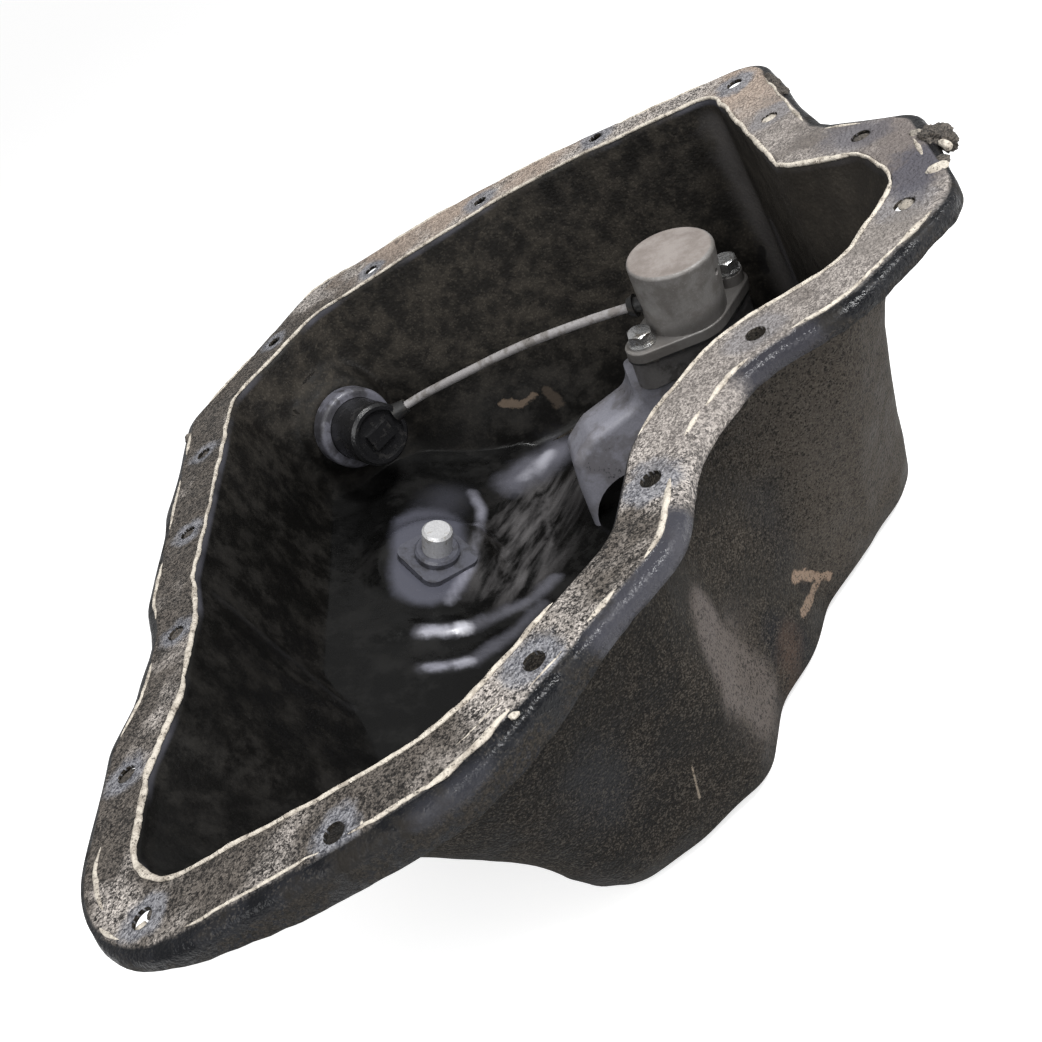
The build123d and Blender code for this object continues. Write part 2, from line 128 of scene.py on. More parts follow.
# each row is one corner: its x, y and radius at the opening, the lip, the knee and the floor
CORNERS = np.array([
    (-146, -173, 22, -172, -203, 50, -127, -149, 30, -86, -97, 30),
    (-42, -172, 60, -38, -195, 70, -42, -162, 40, -45, -143, 22),
    (19, -132, 25, 37, -149, 30, 19, -131, 25, 17, -128, 18),
    (34, -93, 30, 51, -112, 45, 32, -97, 30, 30, -101, 40),
    (74, -62, 35, 79, -88, 35, 70, -65, 35, 60, -66, 40),
    (117, -62, 24, 113, -88, 40, 106, -57, 24, 86, -46, 30),
    (148, -33, 20, 163, -62, 26, 127, -34, 22, 113, -18, 25),
    (147, -3, 14, 173, 5, 16, 128, -2, 14, 121, 4, 14),
    (123, 21, 12, 147, 38, 14, 122, 24, 12, 123, 30, 14),
    (124, 126, 14, 152, 135, 22, 122, 126, 14, 117, 121, 14),
    (55, 152, 60, 58, 176, 60, 54, 149, 60, 52, 143, 50),
    (15, 161, 60, 8, 192, 60, 15, 157, 60, 14, 150, 50),
    (-92, 161, 15, -96, 202, 30, -91, 157, 15, -88, 150, 15),
    (-138, 121, 15, -168, 127, 18, -135, 119, 15, -128, 114, 15),
    (-143, -20, 14, -168, -22, 40, -138, -20, 14, -129, -22, 15),
    (-138, -46, 14, -161, -48, 40, -131, -48, 14, -112, -57, 15),
    (-139, -92, 24, -163, -80, 24, -128, -88, 24, -103, -72, 20),
    (-148, -122, 24, -171, -99, 24, -131, -112, 24, -95, -82, 20)], float)
BOLTS = np.array([
    (-75, -189), (-10.5, -165.5), (36.5, -117), (84, -75), (144.5, -51.5), (152.5, 9),
    (135, 68.5), (135, 122), (72, 160), (8, 173), (-57, 173), (-117, 160), (-152, 82),
    (-152, 17), (-148, -52), (-158, -117.5), (-140, -183)], float)
TERRACES = [
    np.array([(-150, -21), (-80, -21), (-50, 17), (-24, 48), (-24, 180), (-150, 180)], float),
    np.array([(-150, -1), (-79, -1), (-59, 23), (-38, 50), (-38, 180), (-150, 180)], float)]
TERRACE_STEP, TERRACE_SIDE, TERRACE_FROM, TERRACE_WHOLE = 3.45, 4.0, -126, -98
DRAIN_SEAT, DRAIN_AXIS = np.array([-84.0, 44, -88.3]), np.array([0.52, -0.2, 0.83])
CONNECTOR_SEAT = np.array([-105.0, 134, -50])
CONNECTOR_AXIS = np.array([0.545, -0.839, 0])
DRAIN_RISE, CONNECTOR_RISE = (26, 1.0), (23, 1.6)  # the seat's radius, the slope of its sides


def length(rows):
    """The length of each row."""
    return np.linalg.norm(rows, axis=-1)


def unit(rows):
    """Each row divided by its length."""
    return rows / length(rows)[..., None]


def soft_max(a, b, blend):
    """The larger of a and b; where they differ by less than blend, rounded by a parabola."""
    near = np.maximum(blend - np.abs(a - b), 0) / blend
    return np.maximum(a, b) + near ** 2 * blend / 4


def ease(x, start, end):
    """0 before start, 1 after end, a cubic S between."""
    t = np.clip((x - start) / (end - start), 0, 1)
    return t * t * (3 - 2 * t)


def waves(points, span, seed):
    """Smooth noise within about -1 to 1: the mean of sine waves in random directions, with
    about span from crest to crest."""
    rng = np.random.default_rng(seed)
    way = unit(rng.normal(size=(WAVES, points.shape[-1])))
    stretch = 2 * np.pi / (span * rng.uniform(0.6, 1.6, WAVES))
    phase = rng.uniform(0, 2 * np.pi, WAVES)
    return np.sin(points @ (way * stretch[:, None]).T + phase).mean(-1) * 1.6


def moved_corners(corners, out):
    """Corners of the polygon whose every side has moved outwards by out."""
    along = unit(np.roll(corners, -1, 0) - corners)
    normal = np.stack([along[:, 1], -along[:, 0]], 1)
    before = np.roll(normal, 1, 0)
    meet = before + normal
    return corners + meet * out / (1 + (before * normal).sum(1))[:, None]


def rounded_loop(corners, radii, steps=24):
    """Corner arcs and straight sides, each run sampled steps times: radius * (cos, sin)
    of an even angle round each corner's centre, then even points to the next arc."""
    back, on = np.roll(corners, 1, 0) - corners, np.roll(corners, -1, 0) - corners
    one, two = unit(back), unit(on)
    half = np.arccos(np.clip((one * two).sum(1), -1, 1)) / 2
    room = 0.66 * np.minimum(length(back), length(on))
    radii = np.minimum(radii, room * np.tan(half))
    reach = (radii / np.tan(half))[:, None]
    centre = corners + unit(one + two) * (radii / np.sin(half))[:, None]
    start, end = corners + one * reach - centre, corners + two * reach
    first = np.arctan2(start[:, 1], start[:, 0])
    last = np.arctan2(*(end - centre).T[::-1])
    swing = (last - first + np.pi) % (2 * np.pi) - np.pi
    t = np.linspace(0, 1, steps, endpoint=False)
    angle = first[:, None] + swing[:, None] * t
    arcs = centre[:, None] + radii[:, None, None] * np.stack([np.cos(angle), np.sin(angle)], -1)
    begin = np.roll(centre + start, -1, 0)
    sides = end[:, None] + (begin - end)[:, None] * t[None, :, None]
    return np.concatenate([arcs, sides], 1).reshape(-1, 2)


def opening(level, out):
    """The outline at a level (0 rim, 1 lip, 2 knee, 3 floor), moved outwards by out."""
    corners, radius = CORNERS[:, 3 * level:3 * level + 2], CORNERS[:, 3 * level + 2]
    along = np.roll(corners, -1, 0) - corners
    before = np.roll(along, 1, 0)
    convex = before[:, 0] * along[:, 1] - before[:, 1] * along[:, 0] > 0
    radii = np.maximum(radius + np.where(convex, out, -out), 4)
    return rounded_loop(moved_corners(corners, out), radii)


def even_places():
    """Places along a fine loop that are evenly spaced on the flange."""
    loop = opening(0, 12)
    step = length(np.roll(loop, -1, 0) - loop)
    run = np.concatenate([[0], np.cumsum(step)])
    return np.interp(np.linspace(0, run[-1], AROUND, endpoint=False), run, np.arange(len(run)))


def loop_at(level, out):
    """AROUND points of the opening's outline, the same places on every level."""
    loop = opening(level, out)
    closed = np.vstack([loop, loop[:1]])
    index = np.arange(len(closed))
    return np.stack([np.interp(PLACES, index, closed[:, i]) for i in (0, 1)], 1)


def inside_depth(points, polygon):
    """Distance inwards from a polygon's boundary, negative outside it: a point is inside
    where an odd number of sides cross its level to the right of it."""
    a, b = polygon, np.roll(polygon, -1, 0)
    side = b - a
    x, y = points[..., None, 0], points[..., None, 1]
    level = (a[:, 1] > y) != (b[:, 1] > y)
    cross = a[:, 0] + (y - a[:, 1]) * side[:, 0] / np.where(side[:, 1] == 0, 1, side[:, 1])
    inside = (level & (x < cross)).sum(-1) % 2 == 1
    gap = line_gap(points, np.vstack([polygon, polygon[:1]]))
    return np.where(inside, gap, -gap)


def bolt_gap(points):
    """Distance in plan to the nearest bolt hole's centre."""
    return length(points[..., None, :2] - BOLTS).min(-1)


def line_gap(points, line):
    """Distance to the nearest point of a broken line."""
    line, gap = np.asarray(line, float), np.inf
    for start, end in zip(line[:-1], line[1:]):
        run = end - start
        t = np.clip(((points - start) @ run) / (run @ run), 0, 1)
        gap = np.minimum(gap, length(points - start - t[..., None] * run))
    return gap


def ring(loop, height):
    """A loop in plan given its height, one number or one for every point."""
    return np.column_stack([loop, np.broadcast_to(height, AROUND)])


def rim_rings():
    """Rings from the lip's free edge over the flange to the opening: a straight lip, a
    quarter circle, the margin, the step up to the land, and the land."""
    rows = [(0, -LIP_DROP), (0, -LIP_DROP + LIP_STRAIGHT)]
    rows += [(LIP_RADIUS * (1 - np.cos(angle)), -RIM_STEP - LIP_RADIUS * (1 - np.sin(angle)))
             for angle in np.radians(np.linspace(0, 90, LIP_RINGS))]
    rings = [ring(loop_at(1, -back), z) for back, z in rows]
    outer, inner = loop_at(1, -LIP_RADIUS), loop_at(0, MOUTH_BEND)
    width = length(outer - inner)
    for t in np.linspace(0.04, 0.97, LAND_RINGS):
        loop = outer + (inner - outer) * t
        back = np.maximum(width * t + LIP_RADIUS - RIM_MARGIN, BOSS_PAD - bolt_gap(loop))
        rings.append(ring(loop, -RIM_STEP * (1 - ease(back, -0.9, 0.9))))
    return rings


def body_rings():
    """Rings over the mouth's bend, down the walls, round the floor's bend and in to the
    floor's middle."""
    rings = [ring(loop_at(0, MOUTH_BEND * (1 - np.sin(angle))), -MOUTH_BEND * (1 - np.cos(angle)))
             for angle in np.radians(np.linspace(0, 90, MOUTH_RINGS))]
    rim, knee, floor = loop_at(0, 0), loop_at(2, 0), loop_at(3, -FLOOR_START)
    low = FLOOR_Z + FLOOR_BEND
    for z in np.concatenate([np.linspace(WALL_TOP, KNEE_Z + 3, UPPER_RINGS),
                             np.linspace(KNEE_Z, low, LOWER_RINGS)]):
        upper = ease(z, KNEE_Z - KNEE_BEND, KNEE_Z + KNEE_BEND)
        above = rim + (knee - rim) * (z + MOUTH_BEND) / (KNEE_Z + MOUTH_BEND)
        below = knee + (floor - knee) * (z - KNEE_Z) / (low - KNEE_Z)
        rings.append(ring(above * upper + below * (1 - upper), z))
    for angle in np.radians([22, 45, 68, 90]):
        back = FLOOR_START + (FLOOR_BEND - FLOOR_START) * (1 - np.cos(angle))
        rings.append(ring(loop_at(3, -back), low - FLOOR_BEND * np.sin(angle)))
    last = rings[-1]
    for t in np.linspace(0, 1, FLOOR_RINGS + 2)[1:-1]:
        rings.append(FLOOR_MIDDLE + (last - FLOOR_MIDDLE) * (1 - t))
    return rings


def raise_plateau(points, seat, axis, radius, slope, edge=2.5, foot=3.0, reach=30):
    """Pushes the sheet along axis up to a flat round seat whose sides fall away by slope,
    rounded at edge and foot; what is further from the seat than reach stays."""
    axis = unit(axis)
    height = (points - seat) @ axis
    across = length(points - seat - height[..., None] * axis)
    side = np.minimum(0, (radius - across) * slope)
    side = -soft_max(-side, np.zeros_like(side), edge)
    lift = soft_max(height, side, foot) - height
    lift *= across < radius + reach
    return points + np.where(lift > 0, lift, 0)[..., None] * axis


def press_forms(points, first_wall):
    """The ramp, the two terraces on it, and the seats of the drain and the connector."""
    walls = points[first_wall:]
    ramp = FLOOR_Z + (RAMP_FOOT - walls[..., 0]) * RAMP_SLOPE
    walls[..., 2] = soft_max(walls[..., 2], ramp, RAMP_BLEND)
    bottom = soft_max(np.full_like(ramp, FLOOR_Z), ramp, RAMP_BLEND)
    shown = ease(walls[..., 0], TERRACE_FROM, TERRACE_WHOLE)
    for number, terrace in enumerate(TERRACES, 1):
        depth = inside_depth(walls[..., :2], terrace)
        share = number - 1 + ease(depth, -TERRACE_SIDE, TERRACE_SIDE)
        level = bottom + shown * TERRACE_STEP * share
        walls[..., 2] = soft_max(walls[..., 2], level, 1.0)
    walls[:] = raise_plateau(walls, DRAIN_SEAT, DRAIN_AXIS, *DRAIN_RISE)
    walls[:] = raise_plateau(walls, CONNECTOR_SEAT, CONNECTOR_AXIS, *CONNECTOR_RISE)
    return points


def grid_normals(points):
    """Normals of a grid closed in its second direction: the cross product of the steps."""
    around = np.roll(points, -1, 1) - np.roll(points, 1, 1)
    inward = np.gradient(points, axis=0)
    return unit(np.cross(around, inward) + 1e-9)


def rise(points):
    """How far the used flange stands off its plane: slow waves, and a bulge between bolts."""
    return (0.3 * waves(points[..., :2], 60, 3)
            + 0.4 * (1 - np.exp(-(bolt_gap(points) / 22) ** 2)))


LIP_PUSHES = [  # where, how wide, how far out
    ((-168, -172), 18, -3.5), ((164, -48), 24, -3.2), ((-60, -200), 34, 1.8),
    ((-140, 168), 30, -2.6), ((-12, 192), 30, -2.4), ((-162, -130), 24, -2.0),
    ((-170, 46), 12, 1.8), ((-166, -66), 14, 1.6), ((150, 75), 20, -1.2)]
BEND_RIB = [(-44, 115, -118), (-38, 122, -121), (-30, 134, -123)]
DRAIN_RIB = [(-70, 108, -106), (-66, 92, -106), (-66, 66, -100), (-73, 36, -97), (-84, 17, -95)]
STEP_RIBS = [[(-96, -2, -88), (-84, -1.5, -95), (-77, 0, -99), (-65, 9, -107), (-52, 18, -116),
              (-42, 30, -121)],
             [(-97, -24, -89), (-86, -23, -96), (-78, -20, -101), (-62, -4, -110.5),
              (-50, 12, -118.5)]]
DENTS = [  # along which line, how wide, how far in
    (DRAIN_RIB, 4.6, 1.8), (STEP_RIBS[0], 5.4, 1.5), (STEP_RIBS[1], 5.4, 1.5), (BEND_RIB, 6, 1.6),
    ([(60, -69, -107), (60, -70, -106)], 13, 1.6), ([(58, -75, -84), (58, -76, -84)], 9, 1.0),
    ([(98, -50, -80), (97, -50, -80)], 18, 1.2), ([(-30, -146, -95), (-30, -145, -95)], 24, 1.0),
    ([(-66, -150, -66), (-52, -146, -96)], 24, -5.5),
    ([(-40, -143, -112), (-16, -138, -119)], 16, -3.5),
    ([(46, -81, -124), (47, -80, -120)], 16, -3.2),
    ([(104, -29, -122), (104, -28, -118)], 16, -3.0),
    ([(-141, -24, -10), (-134, -30, -55), (-123, -44, -77)], 5, 1.2),
    ([(113.8, 125.4, -78), (113.9, 125.4, -78)], 3, -1.4),
    ([(111.5, 126, -85), (111.6, 126, -85)], 3, -1.4),
    ([(110.6, 126, -90), (110.7, 126, -90)], 3, -1.4)]
SPILT = [(45, -126, -1), (51, -111, -1), (63, -98, -1)]


def knocks(points, first_wall):
    """Wear of the pressing: a wavy flange, whose lip bulges between its bolts and has a
    ragged edge that sags at the near left, and rippled walls with soft dents, which are
    bell curves along the normal."""
    normal = grid_normals(points)
    flange, body = points[:first_wall], points[first_wall:]
    flange[..., 2] += rise(flange)
    lip = ease(np.arange(first_wall), 9, 5)[:, None]
    bulge = 0.5 * waves(flange, 35, 4) + 1.6 * rise(flange)
    for at, radius, shift in LIP_PUSHES:
        bulge += shift * np.exp(-(length(flange[..., :2] - at) / radius) ** 2)
    flange += normal[:first_wall] * (lip * bulge)[..., None] * (1, 1, 0)
    edge = flange[:2]
    sagging = ease(edge[..., 0], -140, -90) * ease(edge[..., 0], 20, -20)
    edge[..., 2] -= LIP_SAG * sagging * ease(edge[..., 1], -100, -150)
    edge[..., 2] += 0.45 * waves(edge, 9, 12) + 0.35 * waves(edge, 30, 13)
    ripple = 0.4 * waves(body, 45, 5) + 0.8 * waves(body, 130, 6)
    for line, radius, depth in DENTS:
        ripple += depth * np.exp(-(line_gap(body, line) / radius) ** 2)
    fade = ease(np.arange(len(body)), 3, 14)[:, None]
    body += normal[first_wall:] * (ripple * fade)[..., None]
    body[..., 2] += rise(body) * ease(np.arange(len(body)), 8, 0)[:, None]
    return points


def new_mesh(name, points, faces):
    """A mesh from points in the pan's millimetres."""
    mesh = bpy.data.meshes.new(name)
    mesh.from_pydata(((points + PAN_SHIFT) / 1000).tolist(), [], faces)
    return mesh


def strips(rings, across, base=0):
    """Four-sided faces between neighbouring rings, each of across points and closed."""
    column = np.arange(across)
    start = base + np.arange(rings - 1)[:, None] * across
    a, b = start + column, start + np.roll(column, -1)
    return np.stack([a, b, b + across, a + across], -1).reshape(-1, 4)


def tubes_mesh(name, tubes):
    """One mesh of closed tubes, each a grid of rings of points with capped ends."""
    faces, base = [], 0
    for tube in tubes:
        rings, sides = tube.shape[:2]
        ring = base + np.arange(sides)
        faces += strips(rings, sides, base)[:, ::-1].tolist()
        faces += [ring.tolist(), (ring + (rings - 1) * sides)[::-1].tolist()]
        base += rings * sides
    return new_mesh(name, np.vstack([tube.reshape(-1, 3) for tube in tubes]), faces)


def closed_sheet(name, front, back):
    """A mesh of two skins with as many columns: faces between neighbouring points, a strip
    that joins the two outer rings, and a point closing the middle of each skin."""
    points = np.vstack([front.reshape(-1, 3), back.reshape(-1, 3),
                        front[-1].mean(0, keepdims=True), back[-1].mean(0, keepdims=True)])
    column = np.arange(AROUND)
    following = (column + 1) % AROUND

    def fan(first, second, middle):
        return np.stack([first, second, np.full(AROUND, middle)], -1).tolist()

    base, end = len(front) * AROUND, len(points)
    edge = np.stack([column, base + column, base + following, following], -1)
    quads = np.vstack([strips(len(front), AROUND), strips(len(back), AROUND, base)[:, ::-1],
                       edge])
    last, last_back = base - AROUND, end - 2 - AROUND
    fans = fan(last + column, last + following, end - 2)
    fans += fan(last_back + following, last_back + column, end - 1)
    return new_mesh(name, points, quads.tolist() + fans)


def add_piece(name, mesh, *paints):
    """Shows a mesh with its paints as a smooth piece that rides with the pan."""
    piece = bpy.data.objects.new(name, mesh)
    scene.collection.objects.link(piece)
    mesh.materials.clear()
    for paint in paints:
        mesh.materials.append(paint)
    mesh.polygons.foreach_set("use_smooth", np.ones(len(mesh.polygons), bool))
    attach(piece, "pan")
    return piece


def cutters(name, seats, across, reach):
    """Round bars through the sheet: circles about each seat, square to its axis, one reach
    above it and one reach below."""
    turn = np.linspace(0, 2 * np.pi, BAR_SIDES, endpoint=False)[:, None]
    bars = []
    for (at, axis), width in zip(seats, across):
        axis = unit(np.asarray(axis, float))
        side = unit(np.cross(axis, (0.3, 0.9, 0.1)))
        circle = at + width / 2 * (np.cos(turn) * side + np.sin(turn) * np.cross(axis, side))
        bars.append(np.stack([circle + axis * reach, circle - axis * reach]))
    return tubes_mesh(name, bars)


def read_all(rows, name, width=1, kind=float):
    """One property of every row of a mesh: a number each, or width numbers each."""
    kept = np.zeros(len(rows) * width, kind)
    rows.foreach_get(name, kept)
    return kept.reshape(-1, width) if width > 1 else kept


def drilled(mesh, tool):
    """The mesh with the tool cut away, and the place of each of its points."""
    holder, bit = (bpy.data.objects.new(m.name, m) for m in (mesh, tool))
    for each in (holder, bit):
        scene.collection.objects.link(each)
    cut = holder.modifiers.new("holes", "BOOLEAN")
    cut.operation, cut.solver, cut.object = "DIFFERENCE", "EXACT", bit
    bpy.context.view_layer.update()
    done = bpy.data.meshes.new_from_object(holder.evaluated_get(
        bpy.context.evaluated_depsgraph_get()))
    for each in (holder, bit):
        bpy.data.objects.remove(each)
    return done, read_all(done.vertices, "co", 3) * 1000 - PAN_SHIFT


def keep_numbers(mesh, name, values):
    """Stores a measure of every point of the mesh."""
    if name not in mesh.attributes:
        mesh.attributes.new(name, "FLOAT", "POINT")
    mesh.attributes[name].data.foreach_set("value", np.asarray(values, float))


def put(socket, value):
    """Sets a socket to a number or colour, or links another socket to it."""
    if isinstance(value, bpy.types.NodeSocket):
        socket.id_data.links.new(value, socket)
    else:
        socket.default_value = value


def finish(name, colour, roughness, metallic=0.0, shine=0.5):
    """A new material and its node tree."""
    made = bpy.data.materials.new(name)
    made.use_nodes = True
    shader = made.node_tree.nodes["Principled BSDF"]
    for socket, value in (("Base Color", (*colour, 1)), ("Roughness", roughness),
                          ("Metallic", metallic), ("Specular IOR Level", shine)):
        shader.inputs[socket].default_value = value
    return made, made.node_tree


def surfaced(made, colour, roughness, height, depth):
    """The material with its colour and roughness, and with height as a bump of the given
    depth in millimetres."""
    shader = made.node_tree.nodes["Principled BSDF"]
    bump = made.node_tree.nodes.new("ShaderNodeBump")
    bump.inputs["Strength"].default_value = 1.0
    bump.inputs["Distance"].default_value = depth / 1000
    put(bump.inputs["Height"], height)
    for socket, value in (("Base Color", colour), ("Roughness", roughness),
                          ("Normal", bump.outputs["Normal"])):
        put(shader.inputs[socket], value)
    return made


def placed(tree, kind, size, stretch, turn):
    """A texture with features about size millimetres across, set out on the object's own
    place; it can be stretched and then turned about Z by some degrees."""
    place, scale = (tree.nodes.new(name) for name in ("ShaderNodeTexCoord", "ShaderNodeMapping"))
    scale.vector_type = "TEXTURE"
    scale.inputs["Scale"].default_value = [size / 1000 * s for s in stretch]
    scale.inputs["Rotation"].default_value = (0, 0, np.radians(turn))
    texture = tree.nodes.new(kind)
    texture.inputs["Scale"].default_value = 1.0
    tree.links.new(place.outputs["Object"], scale.inputs["Vector"])
    tree.links.new(scale.outputs["Vector"], texture.inputs["Vector"])
    return texture


def mottle(tree, size, detail, rough=0.55, stretch=(1, 1, 1), turn=0.0):
    """Noise whose patches are about size millimetres across."""
    noise = placed(tree, "ShaderNodeTexNoise", size, stretch, turn)
    noise.inputs["Detail"].default_value = detail
    noise.inputs["Roughness"].default_value = rough
    return noise.outputs["Fac"]


def grains(tree, size):
    """Grains about size millimetres across, each with a number of its own from 0 to 1."""
    cells = placed(tree, "ShaderNodeTexVoronoi", size, (1, 1, 1), 0.0)
    parts = tree.nodes.new("ShaderNodeSeparateColor")
    tree.links.new(cells.outputs["Color"], parts.inputs[0])
    return parts.outputs[0]


def measure(tree, name):
    """A number kept on the mesh's points."""
    kept = tree.nodes.new("ShaderNodeAttribute")
    kept.attribute_name = name
    return kept.outputs["Fac"]


def step(value, low, high, to_low=0.0, to_high=1.0):
    """A soft step: to_low where value is under low, to_high where it is over high."""
    ranged = value.id_data.nodes.new("ShaderNodeMapRange")
    ranged.interpolation_type = "SMOOTHSTEP"
    put(ranged.inputs["Value"], value)
    for socket, number in zip(("From Min", "From Max", "To Min", "To Max"),
                              (low, high, to_low, to_high)):
        ranged.inputs[socket].default_value = number
    return ranged.outputs["Result"]


def plus(a, b, operation="ADD"):
    """The sum of two numbers, at least one from a socket, or another step of arithmetic."""
    tree = (a if isinstance(a, bpy.types.NodeSocket) else b).id_data
    calc = tree.nodes.new("ShaderNodeMath")
    calc.operation = operation
    put(calc.inputs[0], a)
    put(calc.inputs[1], b)
    return calc.outputs[0]


def times(a, b):
    """The product of two numbers."""
    return plus(a, b, "MULTIPLY")


def coat(amount, under, over):
    """The colour over laid on the colour under, as thick as amount says."""
    mix = amount.id_data.nodes.new("ShaderNodeMix")
    mix.data_type = "RGBA"
    put(mix.inputs[0], amount)
    for socket, colour in ((mix.inputs[6], under), (mix.inputs[7], over)):
        put(socket, (*colour, 1) if isinstance(colour, tuple) else colour)
    return mix.outputs[2]


def z_of(socket):
    """The upward part of a vector."""
    parts = socket.id_data.nodes.new("ShaderNodeSeparateXYZ")
    put(parts.inputs[0], socket)
    return parts.outputs["Z"]


def height_of(tree, zero=PAN_SHIFT[2]):
    """Height in millimetres above zero, which is the gasket face if nothing is said."""
    place = tree.nodes.new("ShaderNodeTexCoord")
    return plus(times(z_of(place.outputs["Object"]), 1000.0), -zero)


def within(gap, soft, edge=None, ragged=0.0):
    """1 where gap is 0, falling to 0 where it is 1 over the soft share; the noise edge moves
    that border in and out by up to ragged."""
    if ragged:
        gap = plus(gap, times(plus(edge, -0.5), 2 * ragged))
    return step(gap, 1.0, 1.0 - soft)


def near(tree, line, radius):
    """The distance to a broken line, in radii: for each side, the length from the place to
    its foot on that side, and of these the least."""
    place = tree.nodes.new("ShaderNodeTexCoord").outputs["Object"]

    def vector(operation, a, b):
        calc = tree.nodes.new("ShaderNodeVectorMath")
        calc.operation = operation
        put(calc.inputs[0], a)
        put(calc.inputs[3 if operation == "SCALE" else 1], b)
        return calc.outputs["Value" if operation in ("DOT_PRODUCT", "DISTANCE") else "Vector"]

    corners = (np.array(line, float) + PAN_SHIFT) / 1000
    gap = None
    for start, end in zip(corners[:-1], corners[1:]):
        run = end - start
        along = vector("DOT_PRODUCT", vector("SUBTRACT", place, start), run / (run @ run))
        along = plus(plus(along, 0.0, "MAXIMUM"), 1.0, "MINIMUM")
        foot = vector("ADD", vector("SCALE", tuple(run), along), start)
        far = times(vector("DISTANCE", place, foot), 1000 / radius)
        gap = far if gap is None else plus(gap, far, "MINIMUM")
    return gap


def marked(colour, name, edge):
    """A colour with the marks of its place on it. A broad mark's distance is kept on the
    points, a fine one's is worked out by nodes."""
    tree = edge.id_data
    for number, (line, radius, soft, ragged, strength, shade) in enumerate(MARKS[name]):
        kept = radius >= FINEST_KEPT.get(name, FINE)
        gap = measure(tree, f"{name}_{number}") if kept else near(tree, line, radius)
        colour = coat(times(within(gap, soft, edge, ragged), strength), colour, shade)
    return colour


def keep_marks(mesh, spot):
    """Stores how far every point is from each stain's and broad mark's line, in widths."""
    for name, (line, radius) in FLOOR_STAINS.items():
        keep_numbers(mesh, name, line_gap(spot, line) / radius)
    for name, marks in MARKS.items():
        for number, (line, radius, *_) in enumerate(marks):
            if radius >= FINEST_KEPT.get(name, FINE):
                keep_numbers(mesh, f"{name}_{number}", line_gap(spot, line) / radius)


FINE, FINEST_KEPT = 3.4, {"outside": 9.5}  # the narrowest mark that is kept on the points
FLOOR_STAINS = {  # along which line, and how wide
    "swept": ([(-62, 38, -112), (-36, 96, -123)], 34),
    "wet": ([(-84, 30, -95), (-30, 90, -126)], 74),
    "sludge": ([(-125, 108, -70), (-110, 148, -80), (-62, 151, -112)], 13)}
FAR_BEND = [(-52, 158, -112), (-14, 156, -126)]
MARKS = {}  # along which line, how wide, soft, ragged and strong, and the colour
MARKS["rim"] = [
    ([(60, -84, 0), (140, -50, 0), (160, 0, 0), (135, 60, 0)], 48, 0.8, 0.5, 0.5,
     (0.235, 0.21, 0.195)),
    ([(168, -2, 0), (160, -28, 0)], 26, 0.7, 0.6, 0.75, (0.15, 0.128, 0.12)),
    ([(150, -42, 0), (158, -30, 0)], 13, 0.7, 1.2, 0.8, (0.075, 0.075, 0.095)),
    ([(148, 18, 0), (156, 6, 0)], 12, 0.7, 1.2, 0.7, (0.11, 0.105, 0.118)),
    ([(138, -62, 0), (128, -66, 0)], 12, 0.8, 1.2, 0.7, (0.2, 0.18, 0.165))]
MARKS["lip"] = [
    # painted sheen: bluish grey patches on the lip
    ([(12, -166, -2), (37, -149, -3), (46, -127, -3)], 13, 0.8, 0.9, 0.65, (0.066, 0.066, 0.08)),
    ([(68, -93, -3), (82, -89, -3), (96, -88, -3)], 10, 0.8, 0.9, 0.55, (0.055, 0.054, 0.066)),
    ([(-50, -198, -2), (-30, -193, -2)], 7, 0.8, 0.9, 0.4, (0.055, 0.056, 0.068))]
MARKS["outside"] = [
    # painted shade: a dark mark over the outside of the near wall
    ([(-60, -160, -60), (10, -150, -90)], 85, 0.8, 0.4, 0.5, (0.005, 0.0042, 0.0034)),
    # painted light: the right-hand wall made lighter, as if lit from the side
    ([(100, -40, -30), (98, -44, -100)], 62, 0.6, 0.3, 0.8, (0.06, 0.051, 0.042)),
    ([(-79, -141, -74), (-66, -144, -84)], 7, 0.8, 0.8, 0.7, (0.075, 0.042, 0.027)),
    ([(-60, -144, -86), (-48, -144, -98)], 10, 0.8, 0.8, 0.5, (0.045, 0.032, 0.024)),
    # painted light: the next three marks make the facet by the near corner lighter, as if it
    # caught the light
    ([(28, -110, -86), (24, -112, -118)], 26, 0.9, 0.4, 0.5, (0.07, 0.058, 0.051)),
    ([(26, -115, -58), (24, -118, -84)], 13, 0.5, 0.3, 0.9, (0.11, 0.094, 0.087)),
    ([(25, -115, -82), (27, -111, -106)], 18, 0.5, 0.3, 0.9, (0.1, 0.085, 0.077)),
    ([(40, -92, -100), (45, -87, -119)], 12, 0.7, 0.4, 0.85, (0.009, 0.0095, 0.012)),
    ([(62, -74, -60), (58, -76, -84)], 15, 0.8, 0.4, 0.6, (0.014, 0.0135, 0.014)),
    ([(42, -88, -108), (34, -94, -124)], 11, 0.9, 0.6, 0.7, (0.065, 0.042, 0.03)),
    ([(56, -74, -97), (61, -68, -105), (66, -63, -114)], 2.6, 0.4, 1.7, 0.9, (0.25, 0.18, 0.132)),
    ([(62.5, -66, -111), (57, -72, -111), (52.5, -79, -109)], 2.3, 0.4, 1.5, 0.9,
     (0.22, 0.16, 0.118)),
    ([(57, -73, -103), (58, -71, -107)], 2.6, 0.4, 1, 0.9, (0.012, 0.01, 0.009)),
    ([(-1.2, -136.5, -93.5), (-3.2, -136.7, -100), (-5.3, -137.2, -107)], 0.65, 0.6, 0.6, 0.9,
     (0.24, 0.2, 0.155)),
    ([(-34, -143, -112), (-20, -140, -106)], 1.4, 0.6, 1, 0.9, (0.003, 0.003, 0.003)),
    ([(-24, -150, -62), (-24, -148, -76)], 22, 0.9, 0.4, 0.6, (0.02, 0.021, 0.024))]
